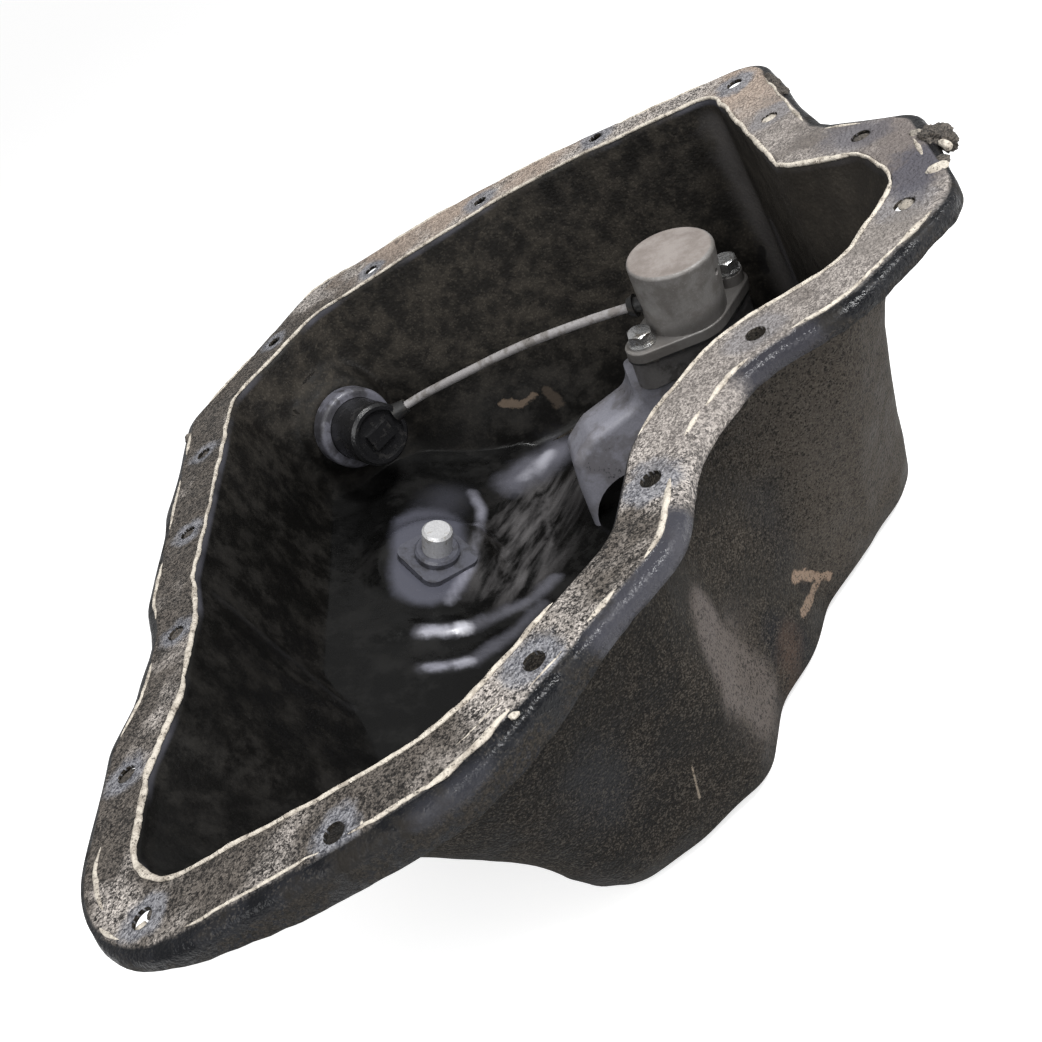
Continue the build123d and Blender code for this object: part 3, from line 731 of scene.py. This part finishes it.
MARKS["inside"] = [
    # round the drain: partly cleaner, greyer paint, partly a painted bluish reflection
    ([(-89, 33, -88), (-87, 78, -88)], 21, 0.35, 0.15, 0.85, (0.1, 0.102, 0.128)),
    ([(-87, 78, -88), (-80, 104, -98)], 20, 1, 0.4, 0.5, (0.07, 0.071, 0.086)),
    # painted highlight along the ridge beside the drain seat
    (DRAIN_RIB, 4.6, 1, 0.4, 0.9, (0.28, 0.28, 0.33)),
    # painted highlight on the bend at the far wall, brightest along its rib
    ([(-48, 114, -115), (-25, 135, -124)], 17, 0.9, 0.4, 0.8, (0.16, 0.16, 0.19)),
    (BEND_RIB, 6.5, 1, 0.6, 0.9, (0.42, 0.42, 0.47)),
    # painted highlights along the two terrace ribs, brightest in four short glints
    (STEP_RIBS[0], 5.5, 1, 0.6, 0.6, (0.18, 0.18, 0.21)),
    (STEP_RIBS[1], 5.5, 1, 0.6, 0.5, (0.16, 0.16, 0.19)),
    ([(-94, -2, -89), (-86, -1.7, -94)], 4.6, 1, 0.6, 0.85, (0.42, 0.42, 0.48)),
    ([(-81, -1, -97), (-78, -0.5, -98)], 5.0, 1, 0.5, 1, (0.6, 0.6, 0.66)),
    ([(-95, -24, -90), (-89, -23.5, -94)], 4.4, 1, 0.6, 0.8, (0.36, 0.36, 0.42)),
    ([(-85, -23, -97), (-80, -21, -99.5)], 4.4, 1, 0.5, 0.9, (0.44, 0.44, 0.5)),
    ([(-141, -24, -10), (-134, -30, -55), (-123, -44, -77)], 3.5, 1, 0.5, 0.4,
     (0.034, 0.034, 0.036))]
MARKS["dry"] = [
    ([(-37, 152, -93), (-30, 151, -98), (-22, 151, -97)], 2.6, 0.5, 1.9, 0.75,
     (0.15, 0.112, 0.082)),
    ([(-14, 150, -98), (-12, 149, -110)], 3.0, 0.7, 1.9, 0.5, (0.09, 0.07, 0.054)),
    ([(121, 124, -14), (120, 122, -60), (118, 118, -100)], 12, 0.8, 0.5, 0.6,
     (0.125, 0.117, 0.115)),
    ([(121, 104, -62), (119, 106, -100)], 9, 0.8, 0.6, 0.6, (0.115, 0.11, 0.118)),
    ([(135, 0, -20), (125, 80, -40)], 60, 1, 0.4, 0.5, (0.06, 0.052, 0.043)),
    ([(113.8, 125.4, -78), (111.5, 126, -85), (110.6, 126, -90)], 2.6, 0.5, 1, 0.8,
     (0.01, 0.009, 0.009))]


def outside_paint():
    """Black paint under brown road dust, gritty all over, rubbed or rusty in places; painted
    shade darkens the near wall, and painted light brightens the right wall and a facet.
    """
    paint, tree = finish("pan_outside", (0.02, 0.02, 0.02), 0.7, shine=0.12)
    fine, coarse = grains(tree, 0.5), grains(tree, 1.3)
    cloud, patch = mottle(tree, 80, 3), mottle(tree, 20, 5, 0.7)
    dust = coat(step(cloud, 0.38, 0.62), (0.0075, 0.0065, 0.0055), (0.02, 0.017, 0.0135))
    dust = coat(step(patch, 0.44, 0.66), dust, (0.024, 0.02, 0.016))
    # the outside marks include painted shade on the near wall and painted light on the right wall
    # and the facet
    dust = marked(dust, "outside", patch)
    light = step(plus(fine, times(patch, 0.9)), 1.05, 1.5, 0, 0.5)
    dust = coat(light, dust, (0.105, 0.092, 0.077))
    dust = coat(step(fine, 0.32, 0.05, 0, 0.8), dust, (0.003, 0.003, 0.003))
    pits = step(plus(coarse, times(patch, 0.3)), 1.05, 1.12, 0, 0.55)
    dust = coat(pits, dust, (0.003, 0.003, 0.003))
    height = plus(times(mottle(tree, 1.2, 1), 1.3), times(patch, 3))
    return surfaced(paint, dust, step(patch, 0.3, 0.7, 0.5, 0.8), height, 0.35)


def rim_paint():
    """Sealant crumbs over the land, muddy at the left, tan at the far end, and rubbed off round
    the bolts to paint made pale bluish by a painted sheen; the lip is glossy black, with a film
    of oil, grit and, low down, a brown crust, and patches of painted bluish sheen."""
    paint, tree = finish("pan_rim", (0.02, 0.02, 0.024), 0.4, shine=0.26)
    fine, coarse = grains(tree, 0.5), grains(tree, 1.1)
    cloud, patch = mottle(tree, 42, 3, 0.6), mottle(tree, 13, 6, 0.66)
    mixed = plus(plus(times(fine, 0.6), times(coarse, 0.4)), times(patch, 0.7))
    crumbs = coat(step(mixed, 0.45, 1.35), (0.016, 0.014, 0.013), (0.68, 0.62, 0.57))
    muddy = coat(step(mixed, 0.5, 1.3), (0.012, 0.0105, 0.0095), (0.165, 0.144, 0.125))
    tanned = coat(step(mixed, 0.45, 1.2), (0.17, 0.135, 0.11), (0.48, 0.39, 0.325))
    # rubbed-off paint round the bolts, its pale bluish tone partly a painted sheen
    rubbed_and_sheen = coat(step(mixed, 0.45, 1.2), (0.06, 0.062, 0.075), (0.31, 0.312, 0.335))
    mud = measure(tree, "mud")
    crumbs = coat(step(plus(cloud, mud), 0.5, 0.66), crumbs, muddy)
    crumbs = coat(times(measure(tree, "tan"), step(cloud, 0.35, 0.55)), crumbs, tanned)
    rub = plus(plus(measure(tree, "bolt"), times(patch, -16.0)), times(mud, 10.0))
    land = coat(step(rub, 4.0, -1.0, 0, 0.9), crumbs, rubbed_and_sheen)
    land = coat(step(patch, 0.6, 0.7, 0, 0.7), land, (0.022, 0.02, 0.019))
    land = marked(land, "rim", patch)
    gloss = coat(step(patch, 0.4, 0.7), (0.0035, 0.004, 0.0055), (0.012, 0.013, 0.017))
    grit = times(step(fine, 0.74, 0.95), step(patch, 0.44, 0.62, 0.05, 0.45))
    gloss = coat(grit, gloss, (0.105, 0.094, 0.081))
    film = step(plus(patch, times(cloud, 0.5)), 0.74, 0.94)
    gloss = coat(film, gloss, (0.0135, 0.0115, 0.0095))
    crust = times(step(height_of(tree), -3.2, -6.0), step(patch, 0.38, 0.54))
    gloss = coat(times(crust, step(coarse, 0.1, 0.6)), gloss,
                 coat(fine, (0.004, 0.0036, 0.0032), (0.036, 0.03, 0.024)))
    # the lip's marks are painted sheen
    gloss = marked(gloss, "lip", patch)
    cover = measure(tree, "land")
    rough = plus(step(patch, 0.42, 0.62, 0.2, 0.42), times(cover, 0.35))
    rough = plus(rough, times(plus(film, crust, "MAXIMUM"), 0.35))
    gritty = plus(times(plus(cover, crust, "MAXIMUM"), 2.0), 0.8)
    height = plus(times(mottle(tree, 1.1, 1), gritty), times(patch, 2.2))
    return surfaced(paint, coat(cover, gloss, land), rough, height, 0.45)


def inside_paint():
    """Old oil: nearly black and wet below, brown and dusty where it has dried; grey smears,
    painted highlights along the ribs on the ramp and the bend at the far wall, a painted sheen
    under the mouth, and round the drain cleaner, greyer paint with a painted bluish reflection."""
    paint, tree = finish("pan_inside", (0.01, 0.01, 0.01), 0.3, shine=0.24)
    cloud, patch = mottle(tree, 45, 3), mottle(tree, 11, 5, 0.7)
    smear = mottle(tree, 6, 5, 0.55, (8, 1, 1), 58)
    fine, dry = grains(tree, 0.8), measure(tree, "dry")
    swept = within(measure(tree, "swept"), 0.8, cloud, 0.4)
    sludge = within(measure(tree, "sludge"), 0.6, patch, 0.5)
    wet = within(measure(tree, "wet"), 0.8, cloud, 0.5)
    oil = coat(step(plus(patch, cloud), 0.95, 1.25), (0.0035, 0.0035, 0.0034),
               (0.0115, 0.0112, 0.0108))
    oil = coat(times(swept, step(smear, 0.36, 0.72)), oil, (0.112, 0.107, 0.108))
    # the inside marks include painted highlights on the ribs and bends and a painted reflection
    # round the drain
    oil = marked(oil, "inside", patch)
    dust = coat(step(patch, 0.4, 0.64), (0.0105, 0.0092, 0.0078), (0.036, 0.031, 0.025))
    dust = coat(step(plus(fine, times(patch, 0.8)), 1.1, 1.5, 0, 0.28), dust,
                (0.11, 0.097, 0.078))
    reach = times(dry, step(cloud, 0.22, 0.5, 0.45, 1))
    # painted sheen: a bluish grey band just below the mouth's edge
    mouth = times(step(height_of(tree), -3.6, -1.9), step(cloud, 0.4, 0.6))
    shade = coat(mouth, coat(reach, oil, dust), (0.05, 0.05, 0.06))
    rough = plus(step(patch, 0.38, 0.62, 0.26, 0.5), times(wet, -0.18))
    rough = plus(rough, times(plus(reach, sludge, "MAXIMUM"), 0.35))
    height = plus(times(patch, 0.3), times(dry, times(mottle(tree, 1.6, 1), 0.3)))
    height = plus(height, times(within(near(tree, FAR_BEND, 46), 0.98), 6.0))
    return surfaced(paint, marked(shade, "dry", patch), rough, height, 1.0)


PLACES = even_places()
flange, walls = rim_rings(), body_rings()
first_wall = len(flange)
pan_grid = press_forms(np.array(flange + walls), first_wall + MOUTH_RINGS)
land_cover = ease(pan_grid[..., 2], -0.75 * RIM_STEP, -0.1 * RIM_STEP)
land_cover = np.maximum(land_cover, 0.85 * ease(line_gap(pan_grid, SPILT), 13, 7))
pan_grid = knocks(pan_grid, first_wall)
rings = np.arange(len(pan_grid))
back_rings = np.concatenate([rings[:first_wall:2], rings[first_wall::3], rings[-1:]])
back_grid = pan_grid[back_rings] - grid_normals(pan_grid)[back_rings] * SHEET
pan_mesh = closed_sheet("pan", pan_grid, back_grid)

# the zone of every point: 0 outside, 1 rim, 2 inside; a point made by a cut isn't "made"
on_rim = np.repeat(rings, AROUND) <= first_wall + 2
behind = np.zeros(len(back_rings) * AROUND)
keep_numbers(pan_mesh, "zone", np.concatenate([np.where(on_rim, 1, 2), behind, [2, 0]]))
keep_numbers(pan_mesh, "land", np.concatenate([on_rim * land_cover.ravel(), behind, [0, 0]]))
keep_numbers(pan_mesh, "made", np.ones(len(pan_mesh.vertices)))
seats = [((x, y, 0), (0, 0, 1)) for x, y in BOLTS]
seats += [(DRAIN_SEAT, DRAIN_AXIS), (CONNECTOR_SEAT, CONNECTOR_AXIS)]
across = [BOLT_HOLE] * len(BOLTS) + [DRAIN_HOLE, CONNECTOR_HOLE]
pan_mesh, spot = drilled(pan_mesh, cutters("bolt_holes", seats, across, BAR_REACH))
made, zone, cover = (read_all(pan_mesh.attributes[name].data, "value")
                     for name in ("made", "zone", "land"))
cut = made < 0.999
on_top = cut & (spot[:, 2] > HOLE_TOP)
zone = np.where(cut, on_top, zone)
steep = 0.22 * ease(read_all(pan_mesh.vertices, "normal", 3)[:, 2], 0.8, 0.2)
dry_level = spot @ (0.35, 0.5, 1.0) + 10 * waves(spot, 60, 8)
for name, values in (("land", np.where(on_top, 1, cover)), ("bolt", bolt_gap(spot)),
                     ("mud", 0.2 * ease(spot[:, 0], 20, -110)),
                     ("tan", ease(spot @ (0.5, 1.0, 0.0), 110, 170)),
                     ("dry", steep + (1 - steep) * ease(dry_level, -55, 30))):
    keep_numbers(pan_mesh, name, values)
keep_marks(pan_mesh, spot)
pan = add_piece("pan", pan_mesh, outside_paint(), rim_paint(), inside_paint())
corners = read_all(pan_mesh.loops, "vertex_index", kind=int)
starts = read_all(pan_mesh.polygons, "loop_start", kind=int)
mean_zone = np.add.reduceat(zone[corners], starts) / np.diff(np.append(starts, len(corners)))
pan_mesh.polygons.foreach_set("material_index", np.round(mean_zone).astype(int))
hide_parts("pan_shell")


# ---- dried sealant ----
# What is left of the bead that sealed the pan to the engine: squeezed over the edge of the
# opening and out past the land between the bolts, and a torn clump on the lobe's corner.
BEAD_PITCH, BEAD_SIDES = 0.7, 12
MOUTH_EDGE, INNER_HEIGHT, INNER_TILT = 1.3, 0.75, np.radians(24)
CRAGGY_FROM, PLAIN_BALL, CRAGGY_BALL = 4.6, (15, 12), (48, 60)


def stretch_of(loop, start, end):
    """The loop's points from start to end, by their distance along it, a pitch apart."""
    first, last = (int(np.argmin(((loop - point) ** 2).sum(1))) for point in (start, end))
    run = np.arange(first, last + 1 if last > first else last + 1 + len(loop)) % len(loop)
    line = loop[run]
    far = np.concatenate([[0], np.cumsum(length(np.diff(line, axis=0)))])
    even = np.linspace(0, far[-1], max(int(far[-1] / BEAD_PITCH), 4))
    return np.column_stack([np.interp(even, far, line[:, i]) for i in (0, 1)])


def bead(line, width, height, lift, tilt, seed):
    """A lumpy half-sunk bead: an ellipse of width and height carried along the line, turned
    by tilt, thinned to nothing at its ends, its size waving with the distance along it."""
    along = unit(np.gradient(line, axis=0))
    out = np.column_stack([along[:, 1], -along[:, 0], np.zeros(len(line))])
    centre = np.column_stack([line, rise(line) + lift])
    t = np.linspace(0, 1, len(line))
    end = np.sqrt(np.clip(np.minimum(t, 1 - t) * len(line) / 12, 0.02, 1))
    swell = 1 + 0.16 * waves(centre, 3.5, seed) + 0.4 * waves(centre, 19, seed + 1)
    size = (width * end * swell)[:, None, None] / 2
    deep = (height * end * (1 + 0.25 * waves(centre, 7, seed + 2)))[:, None, None]
    turn = np.linspace(0, 2 * np.pi, BEAD_SIDES, endpoint=False)[None, :, None]
    side = out[:, None] * np.cos(tilt) + np.array([0, 0, np.sin(tilt)])
    up = np.array([0, 0, np.cos(tilt)]) - out[:, None] * np.sin(tilt)
    wander = out * (0.5 * waves(centre, 14, seed + 3) + 0.2 * waves(centre, 4, seed + 4))[:, None]
    return (centre + wander)[:, None] + side * size * np.cos(turn) + up * deep * np.sin(turn)


def lump(centre, radii, seed):
    """A crumb of sealant: a sphere grid stretched to radii, its radius waving by a third,
    with finer crags on a large one."""
    craggy = max(radii) >= CRAGGY_FROM
    rows, columns = CRAGGY_BALL if craggy else PLAIN_BALL
    lat = np.linspace(0.02, np.pi - 0.02, rows)[:, None]
    lon = np.linspace(0, 2 * np.pi, columns, endpoint=False)[None]
    ball = np.stack(np.broadcast_arrays(np.sin(lat) * np.cos(lon), np.sin(lat) * np.sin(lon),
                                        np.cos(lat)), -1)
    swell = 1.0
    sizes = ((0.28, 7), (0.12, 3), (0.11, 1.5), (0.07, 0.7))
    for number, (depth, span) in enumerate(sizes[:4 if craggy else 2]):
        swell = swell + depth * waves(ball * 6, span, seed + number)
    return np.array(centre) - ball[:, ::-1] * swell[..., None] * np.array(radii)


def dried_sealant():
    """Cream sealant gone chalky and pitted, grubby in its hollows, black where oily."""
    cream, tree = finish("dried_sealant", (0.4, 0.36, 0.31), 0.8)
    fine, patch = grains(tree, 0.5), mottle(tree, 5, 6, 0.7)
    hollow = times(patch, -0.9)
    colour = coat(step(patch, 0.42, 0.64), (0.66, 0.605, 0.52), (0.38, 0.335, 0.28))
    colour = coat(step(plus(fine, hollow), -0.3, -0.45, 0, 0.9), colour, (0.11, 0.095, 0.08))
    grubby = coat(fine, (0.01, 0.009, 0.0085), (0.13, 0.112, 0.095))
    colour = coat(step(plus(measure(tree, "grime"), hollow), 0.0, 0.3), colour, grubby)
    return surfaced(cream, colour, 0.8, plus(mottle(tree, 1.0, 1), times(patch, 2)), 0.5)


OUTER_BEADS = [  # from, to, width, height, further in than the land's edge
    ((-162, -147), (-154, -171), 1.95, 0.56, 5), ((-157, -180), (-148, -187), 1.5, 0.48, 1),
    ((-125, -199), (-77, -198), 1.125, 0.4, 1), ((-71, -197), (-44, -192), 1.425, 0.64, 0.5),
    ((-47, -192), (-16, -181), 2.4, 0.88, 0.5), ((-13, -179), (1, -168), 0.975, 0.48, 0.5),
    ((-38, -185), (-18, -176), 0.75, 0.28, 6), ((8, -162), (16, -156), 2.1, 0.8, 1),
    ((26, -147), (42, -120), 1.95, 0.8, 1), ((51, -107), (58, -98), 1.8, 0.88, 1),
    ((60, -97), (76, -86), 2.1, 0.96, 0.5), ((93, -84), (134, -71), 1.275, 0.64, 0.5),
    ((133, -71), (147, -60), 2.4, 0.96, 0.5), ((158, -30), (162, -12), 1.8, 0.8, 3),
    ((158, 20), (150, 34), 1.35, 0.64, 1), ((145, 48), (144, 108), 1.35, 0.64, 0.5),
    ((128, 142), (84, 165), 1.65, 0.64, 0.5), ((60, 172), (20, 185), 1.2, 0.56, 0.5),
    ((-5, 188), (-48, 194), 1.8, 0.72, 0.5), ((-66, 196), (-100, 190), 1.35, 0.64, 0.5),
    ((-128, 160), (-156, 132), 1.65, 0.72, 0.5), ((-163, 112), (-164, 92), 2.1, 0.8, 0.5),
    ((-164, 70), (-164, 30), 1.5, 0.64, 0.5), ((-164, 5), (-163, -36), 1.65, 0.72, 0.5),
    ((-158, -62), (-161, -98), 1.5, 0.64, 0.5)]
INNER_BEADS = [  # from, to, width
    ((39, -92), (117, -62), 1.178), ((110, -62), (147, -30), 1.984),
    ((147, -34), (140, 14), 1.612), ((147, -3), (122, 30), 2.108), ((123, 24), (124, 122), 1.86),
    ((124, 112), (15, 161), 1.612), ((30, 158), (-92, 161), 1.488),
    ((-84, 161), (-138, 121), 1.736), ((-134, 124), (-143, -20), 1.612),
    ((-143, -12), (-139, -86), 1.86), ((-139, -80), (-148, -128), 2.356),
    ((-148, -120), (-120, -173), 2.232), ((-128, -173), (-42, -170), 1.612),
    ((-50, -171), (-2, -147), 2.48)]
CRUMBS = [  # middle, radii, how grubby
    ((168.5, -18, -1.6), (5, 7, 3.4), 0.75), ((171, -23, -2.4), (3.2, 5.4, 2.9), 0.85),
    ((165, -12, -0.4), (2.4, 2.8, 1.4), 0.6), ((168.5, -29, -0.9), (1.6, 3.8, 1.7), 0.25),
    ((160, -42, -0.7), (4.2, 3.2, 2.1), 0.35), ((163, -37, -1.2), (3.4, 3, 1.5), 0.8),
    ((158, -30, -0.6), (3.4, 4, 1), 0.85), ((157, -19, -0.6), (4, 3, 0.9), 0.8),
    ((147, 104, -1.2), (2.6, 11, 1.9), 0.8), ((147, 88, -1.2), (2.2, 6, 1.7), 0.8),
    ((-165, 111, -1), (2.6, 3.4, 1.8), 0.7), ((-19, -180.6, -0.4), (1.8, 1.2, 0.8), 0),
    ((-66, -190, -0.5), (1.6, 2.2, 0.8), 0), ((152.5, 9, -1.4), (3.6, 3.6, 1), 0.95),
    ((135, 68.5, -1.2), (3.6, 3.6, 1), 0.25), ((145.5, -50, -1.3), (2.8, 3.4, 1), 0.6),
    ((-158, -117.5, -1.6), (3.7, 3.7, 1), 1), ((-148, -52, -1.6), (3.7, 3.7, 1), 1),
    ((-141, -184.6, -1.8), (2.2, 1.6, 0.9), 0.1), ((-138.4, -181.4, -2), (1.6, 1.6, 0.9), 1),
    ((-152, 17, -1.6), (3.7, 3.7, 1), 1), ((-152, 82, -1.6), (3.7, 3.7, 1), 1)]

tubes = [bead(stretch_of(loop_at(1, -RIM_MARGIN - inset), start, end), width, height,
              -0.15, 0.0, 20 + number)
         for number, (start, end, width, height, inset) in enumerate(OUTER_BEADS)]
tubes += [bead(stretch_of(loop_at(0, MOUTH_EDGE), start, end), width, INNER_HEIGHT,
               -0.25, INNER_TILT, 60 + number)
          for number, (start, end, width) in enumerate(INNER_BEADS)]
grime = [np.zeros(BEAD_SIDES * sum(len(tube) for tube in tubes))]
for number, (centre, radii, grubby) in enumerate(CRUMBS):
    tubes.append(lump(centre, radii, 90 + number))
    grime.append(np.full(tubes[-1][..., 0].size, grubby))
sealant_mesh = tubes_mesh("sealant_beads", tubes)
keep_numbers(sealant_mesh, "grime", np.concatenate(grime))
add_piece("sealant_beads", sealant_mesh, dried_sealant())


# ---- drain plug ----
# A zinc-plated screw with an aluminium washer outside; inside, its end stands in a nut on
# a rhombic plate that is welded to the raised seat and painted with the pan.
def dress(nodes, material):
    """Gives CAD nodes, named in one line, a finish in place of the plain one."""
    for name in nodes.split():
        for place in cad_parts[name].material_slots:
            place.material = material


def worn_metal(name, colour, roughness, metallic, stain, stain_size, reach=(0.5, 0.64)):
    """A metal, painted or rubber face with fine grain, and stains of oil and dirt on it
    where the noise passes reach."""
    made, tree = finish(name, colour, roughness, metallic)
    fine, patch = mottle(tree, 0.9, 3, 0.65), mottle(tree, stain_size, 5, 0.62)
    shade = coat(step(fine, 0.35, 0.65, 0, 0.5), colour, tuple(0.72 * part for part in colour))
    shade = coat(step(patch, *reach), shade, stain)
    specks = step(plus(patch, times(fine, 0.6)), 0.98, 1.04)
    shade = coat(specks, shade, tuple(0.35 * part for part in stain))
    rough = plus(step(patch, *reach, -0.05, 0.16), roughness)
    return surfaced(made, shade, rough, plus(fine, times(patch, 3)), 0.12)


dress("drain_plug", worn_metal(
    "plug_zinc", (0.74, 0.74, 0.75), 0.4, 0.45, (0.36, 0.33, 0.27), 5, (0.55, 0.7)))
dress("drain_nut_plate", worn_metal(
    "nut_plate_paint", (0.098, 0.1, 0.122), 0.34, 0.0, (0.05, 0.05, 0.058), 8))
dress("drain_plug_washer", worn_metal(
    "drain_washer", (0.5, 0.5, 0.5), 0.5, 0.7, (0.2, 0.19, 0.17), 5))


# ---- connector ----
# The lead's terminal goes through the corner wall: a black moulded barrel on a seal, with
# a grey metal ring on the raised seat, a steel circlip outside and two tinned pins.
dress("connector_body", worn_metal(
    "connector_plastic", (0.012, 0.012, 0.013), 0.3, 0.0, (0.035, 0.033, 0.032), 6, (0.55, 0.7)))
dress("connector_ring", worn_metal(
    "ring_paint", (0.15, 0.15, 0.178), 0.36, 0.0, (0.05, 0.049, 0.056), 9, (0.44, 0.6)))
dress("connector_seal connector_boot can_grommet sensor_gasket", worn_metal(
    "oily_rubber", (0.018, 0.018, 0.018), 0.5, 0.0, (0.045, 0.04, 0.034), 4))
dress("connector_circlip", worn_metal(
    "circlip_steel", (0.42, 0.42, 0.42), 0.4, 0.9, (0.16, 0.12, 0.09), 6))
dress("connector_pins", worn_metal(
    "tinned_pin", (0.66, 0.6, 0.46), 0.3, 0.9, (0.36, 0.3, 0.2), 4))


# ---- lead ----
# One sleeved lead, held between the connector's boot and the can's grommet, oily grey.
dress("sensor_lead", worn_metal(
    "lead_sleeve", (0.36, 0.345, 0.345), 0.45, 0.0, (0.2, 0.185, 0.175), 9, (0.46, 0.58)))


# ---- bracket ----
# A saddle pressed from 2 mm sheet and painted grey, oily, with dark specks and runs.
dress("sensor_bracket", worn_metal(
    "bracket_paint", (0.27, 0.27, 0.31), 0.42, 0.0, (0.165, 0.16, 0.175), 12, (0.44, 0.62)))


# ---- oil level sensor ----
# A cast thimble on a two-eared flange over a gasket and a dark cast block, held down by
# two zinc-plated screws; inside it a foam float slides on a plastic stem up to a clip.
def can_casting():
    """Satin grey casting with a warmer dusty lid, an oily foot and a few dark pits."""
    made, tree = finish("can_casting", (0.2, 0.2, 0.2), 0.42, 0.15)
    fine, patch = mottle(tree, 0.8, 3, 0.7), mottle(tree, 11, 5, 0.65)
    foot, lid = (1000 * corner[2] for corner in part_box("sensor_can"))
    high, facing = height_of(tree, 0.0), tree.nodes.new("ShaderNodeNewGeometry")
    colour = coat(step(patch, 0.38, 0.62), (0.3, 0.288, 0.278), (0.2, 0.187, 0.175))
    colour = coat(step(fine, 0.58, 0.72, 0, 0.6), colour, (0.42, 0.41, 0.4))
    top = times(step(z_of(facing.outputs["Normal"]), 0.8, 0.97), step(high, lid - 14, lid - 10))
    colour = coat(top, colour, coat(step(patch, 0.35, 0.65), (0.36, 0.322, 0.3),
                                    (0.245, 0.212, 0.192)))
    oily = step(plus(high, times(patch, 8.0)), foot + 21, foot + 14, 0, 0.65)
    colour = coat(oily, colour, (0.075, 0.07, 0.066))
    colour = coat(step(fine, 0.3, 0.22), colour, (0.05, 0.045, 0.04))
    rough = step(patch, 0.35, 0.65, 0.36, 0.52)
    return surfaced(made, colour, rough, plus(fine, times(patch, 2)), 0.15)


dress("sensor_can", can_casting())
dress("sensor_block", worn_metal(
    "block_casting", (0.125, 0.12, 0.118), 0.46, 0.15, (0.05, 0.047, 0.045), 11))
dress("sensor_bolt_left sensor_bolt_right sensor_washer_left sensor_washer_right", worn_metal(
    "screw_zinc", (0.6, 0.6, 0.6), 0.3, 0.9, (0.25, 0.23, 0.2), 4, (0.52, 0.66)))
dress("sensor_float_clip", worn_metal(
    "clip_zinc", (0.55, 0.55, 0.55), 0.35, 0.9, (0.3, 0.28, 0.24), 4))
dress("sensor_stem", worn_metal(
    "stem_plastic", (0.05, 0.05, 0.05), 0.4, 0.0, (0.03, 0.028, 0.026), 6))
dress("sensor_float", worn_metal(
    "float_foam", (0.1, 0.09, 0.08), 0.7, 0.0, (0.05, 0.042, 0.035), 3))
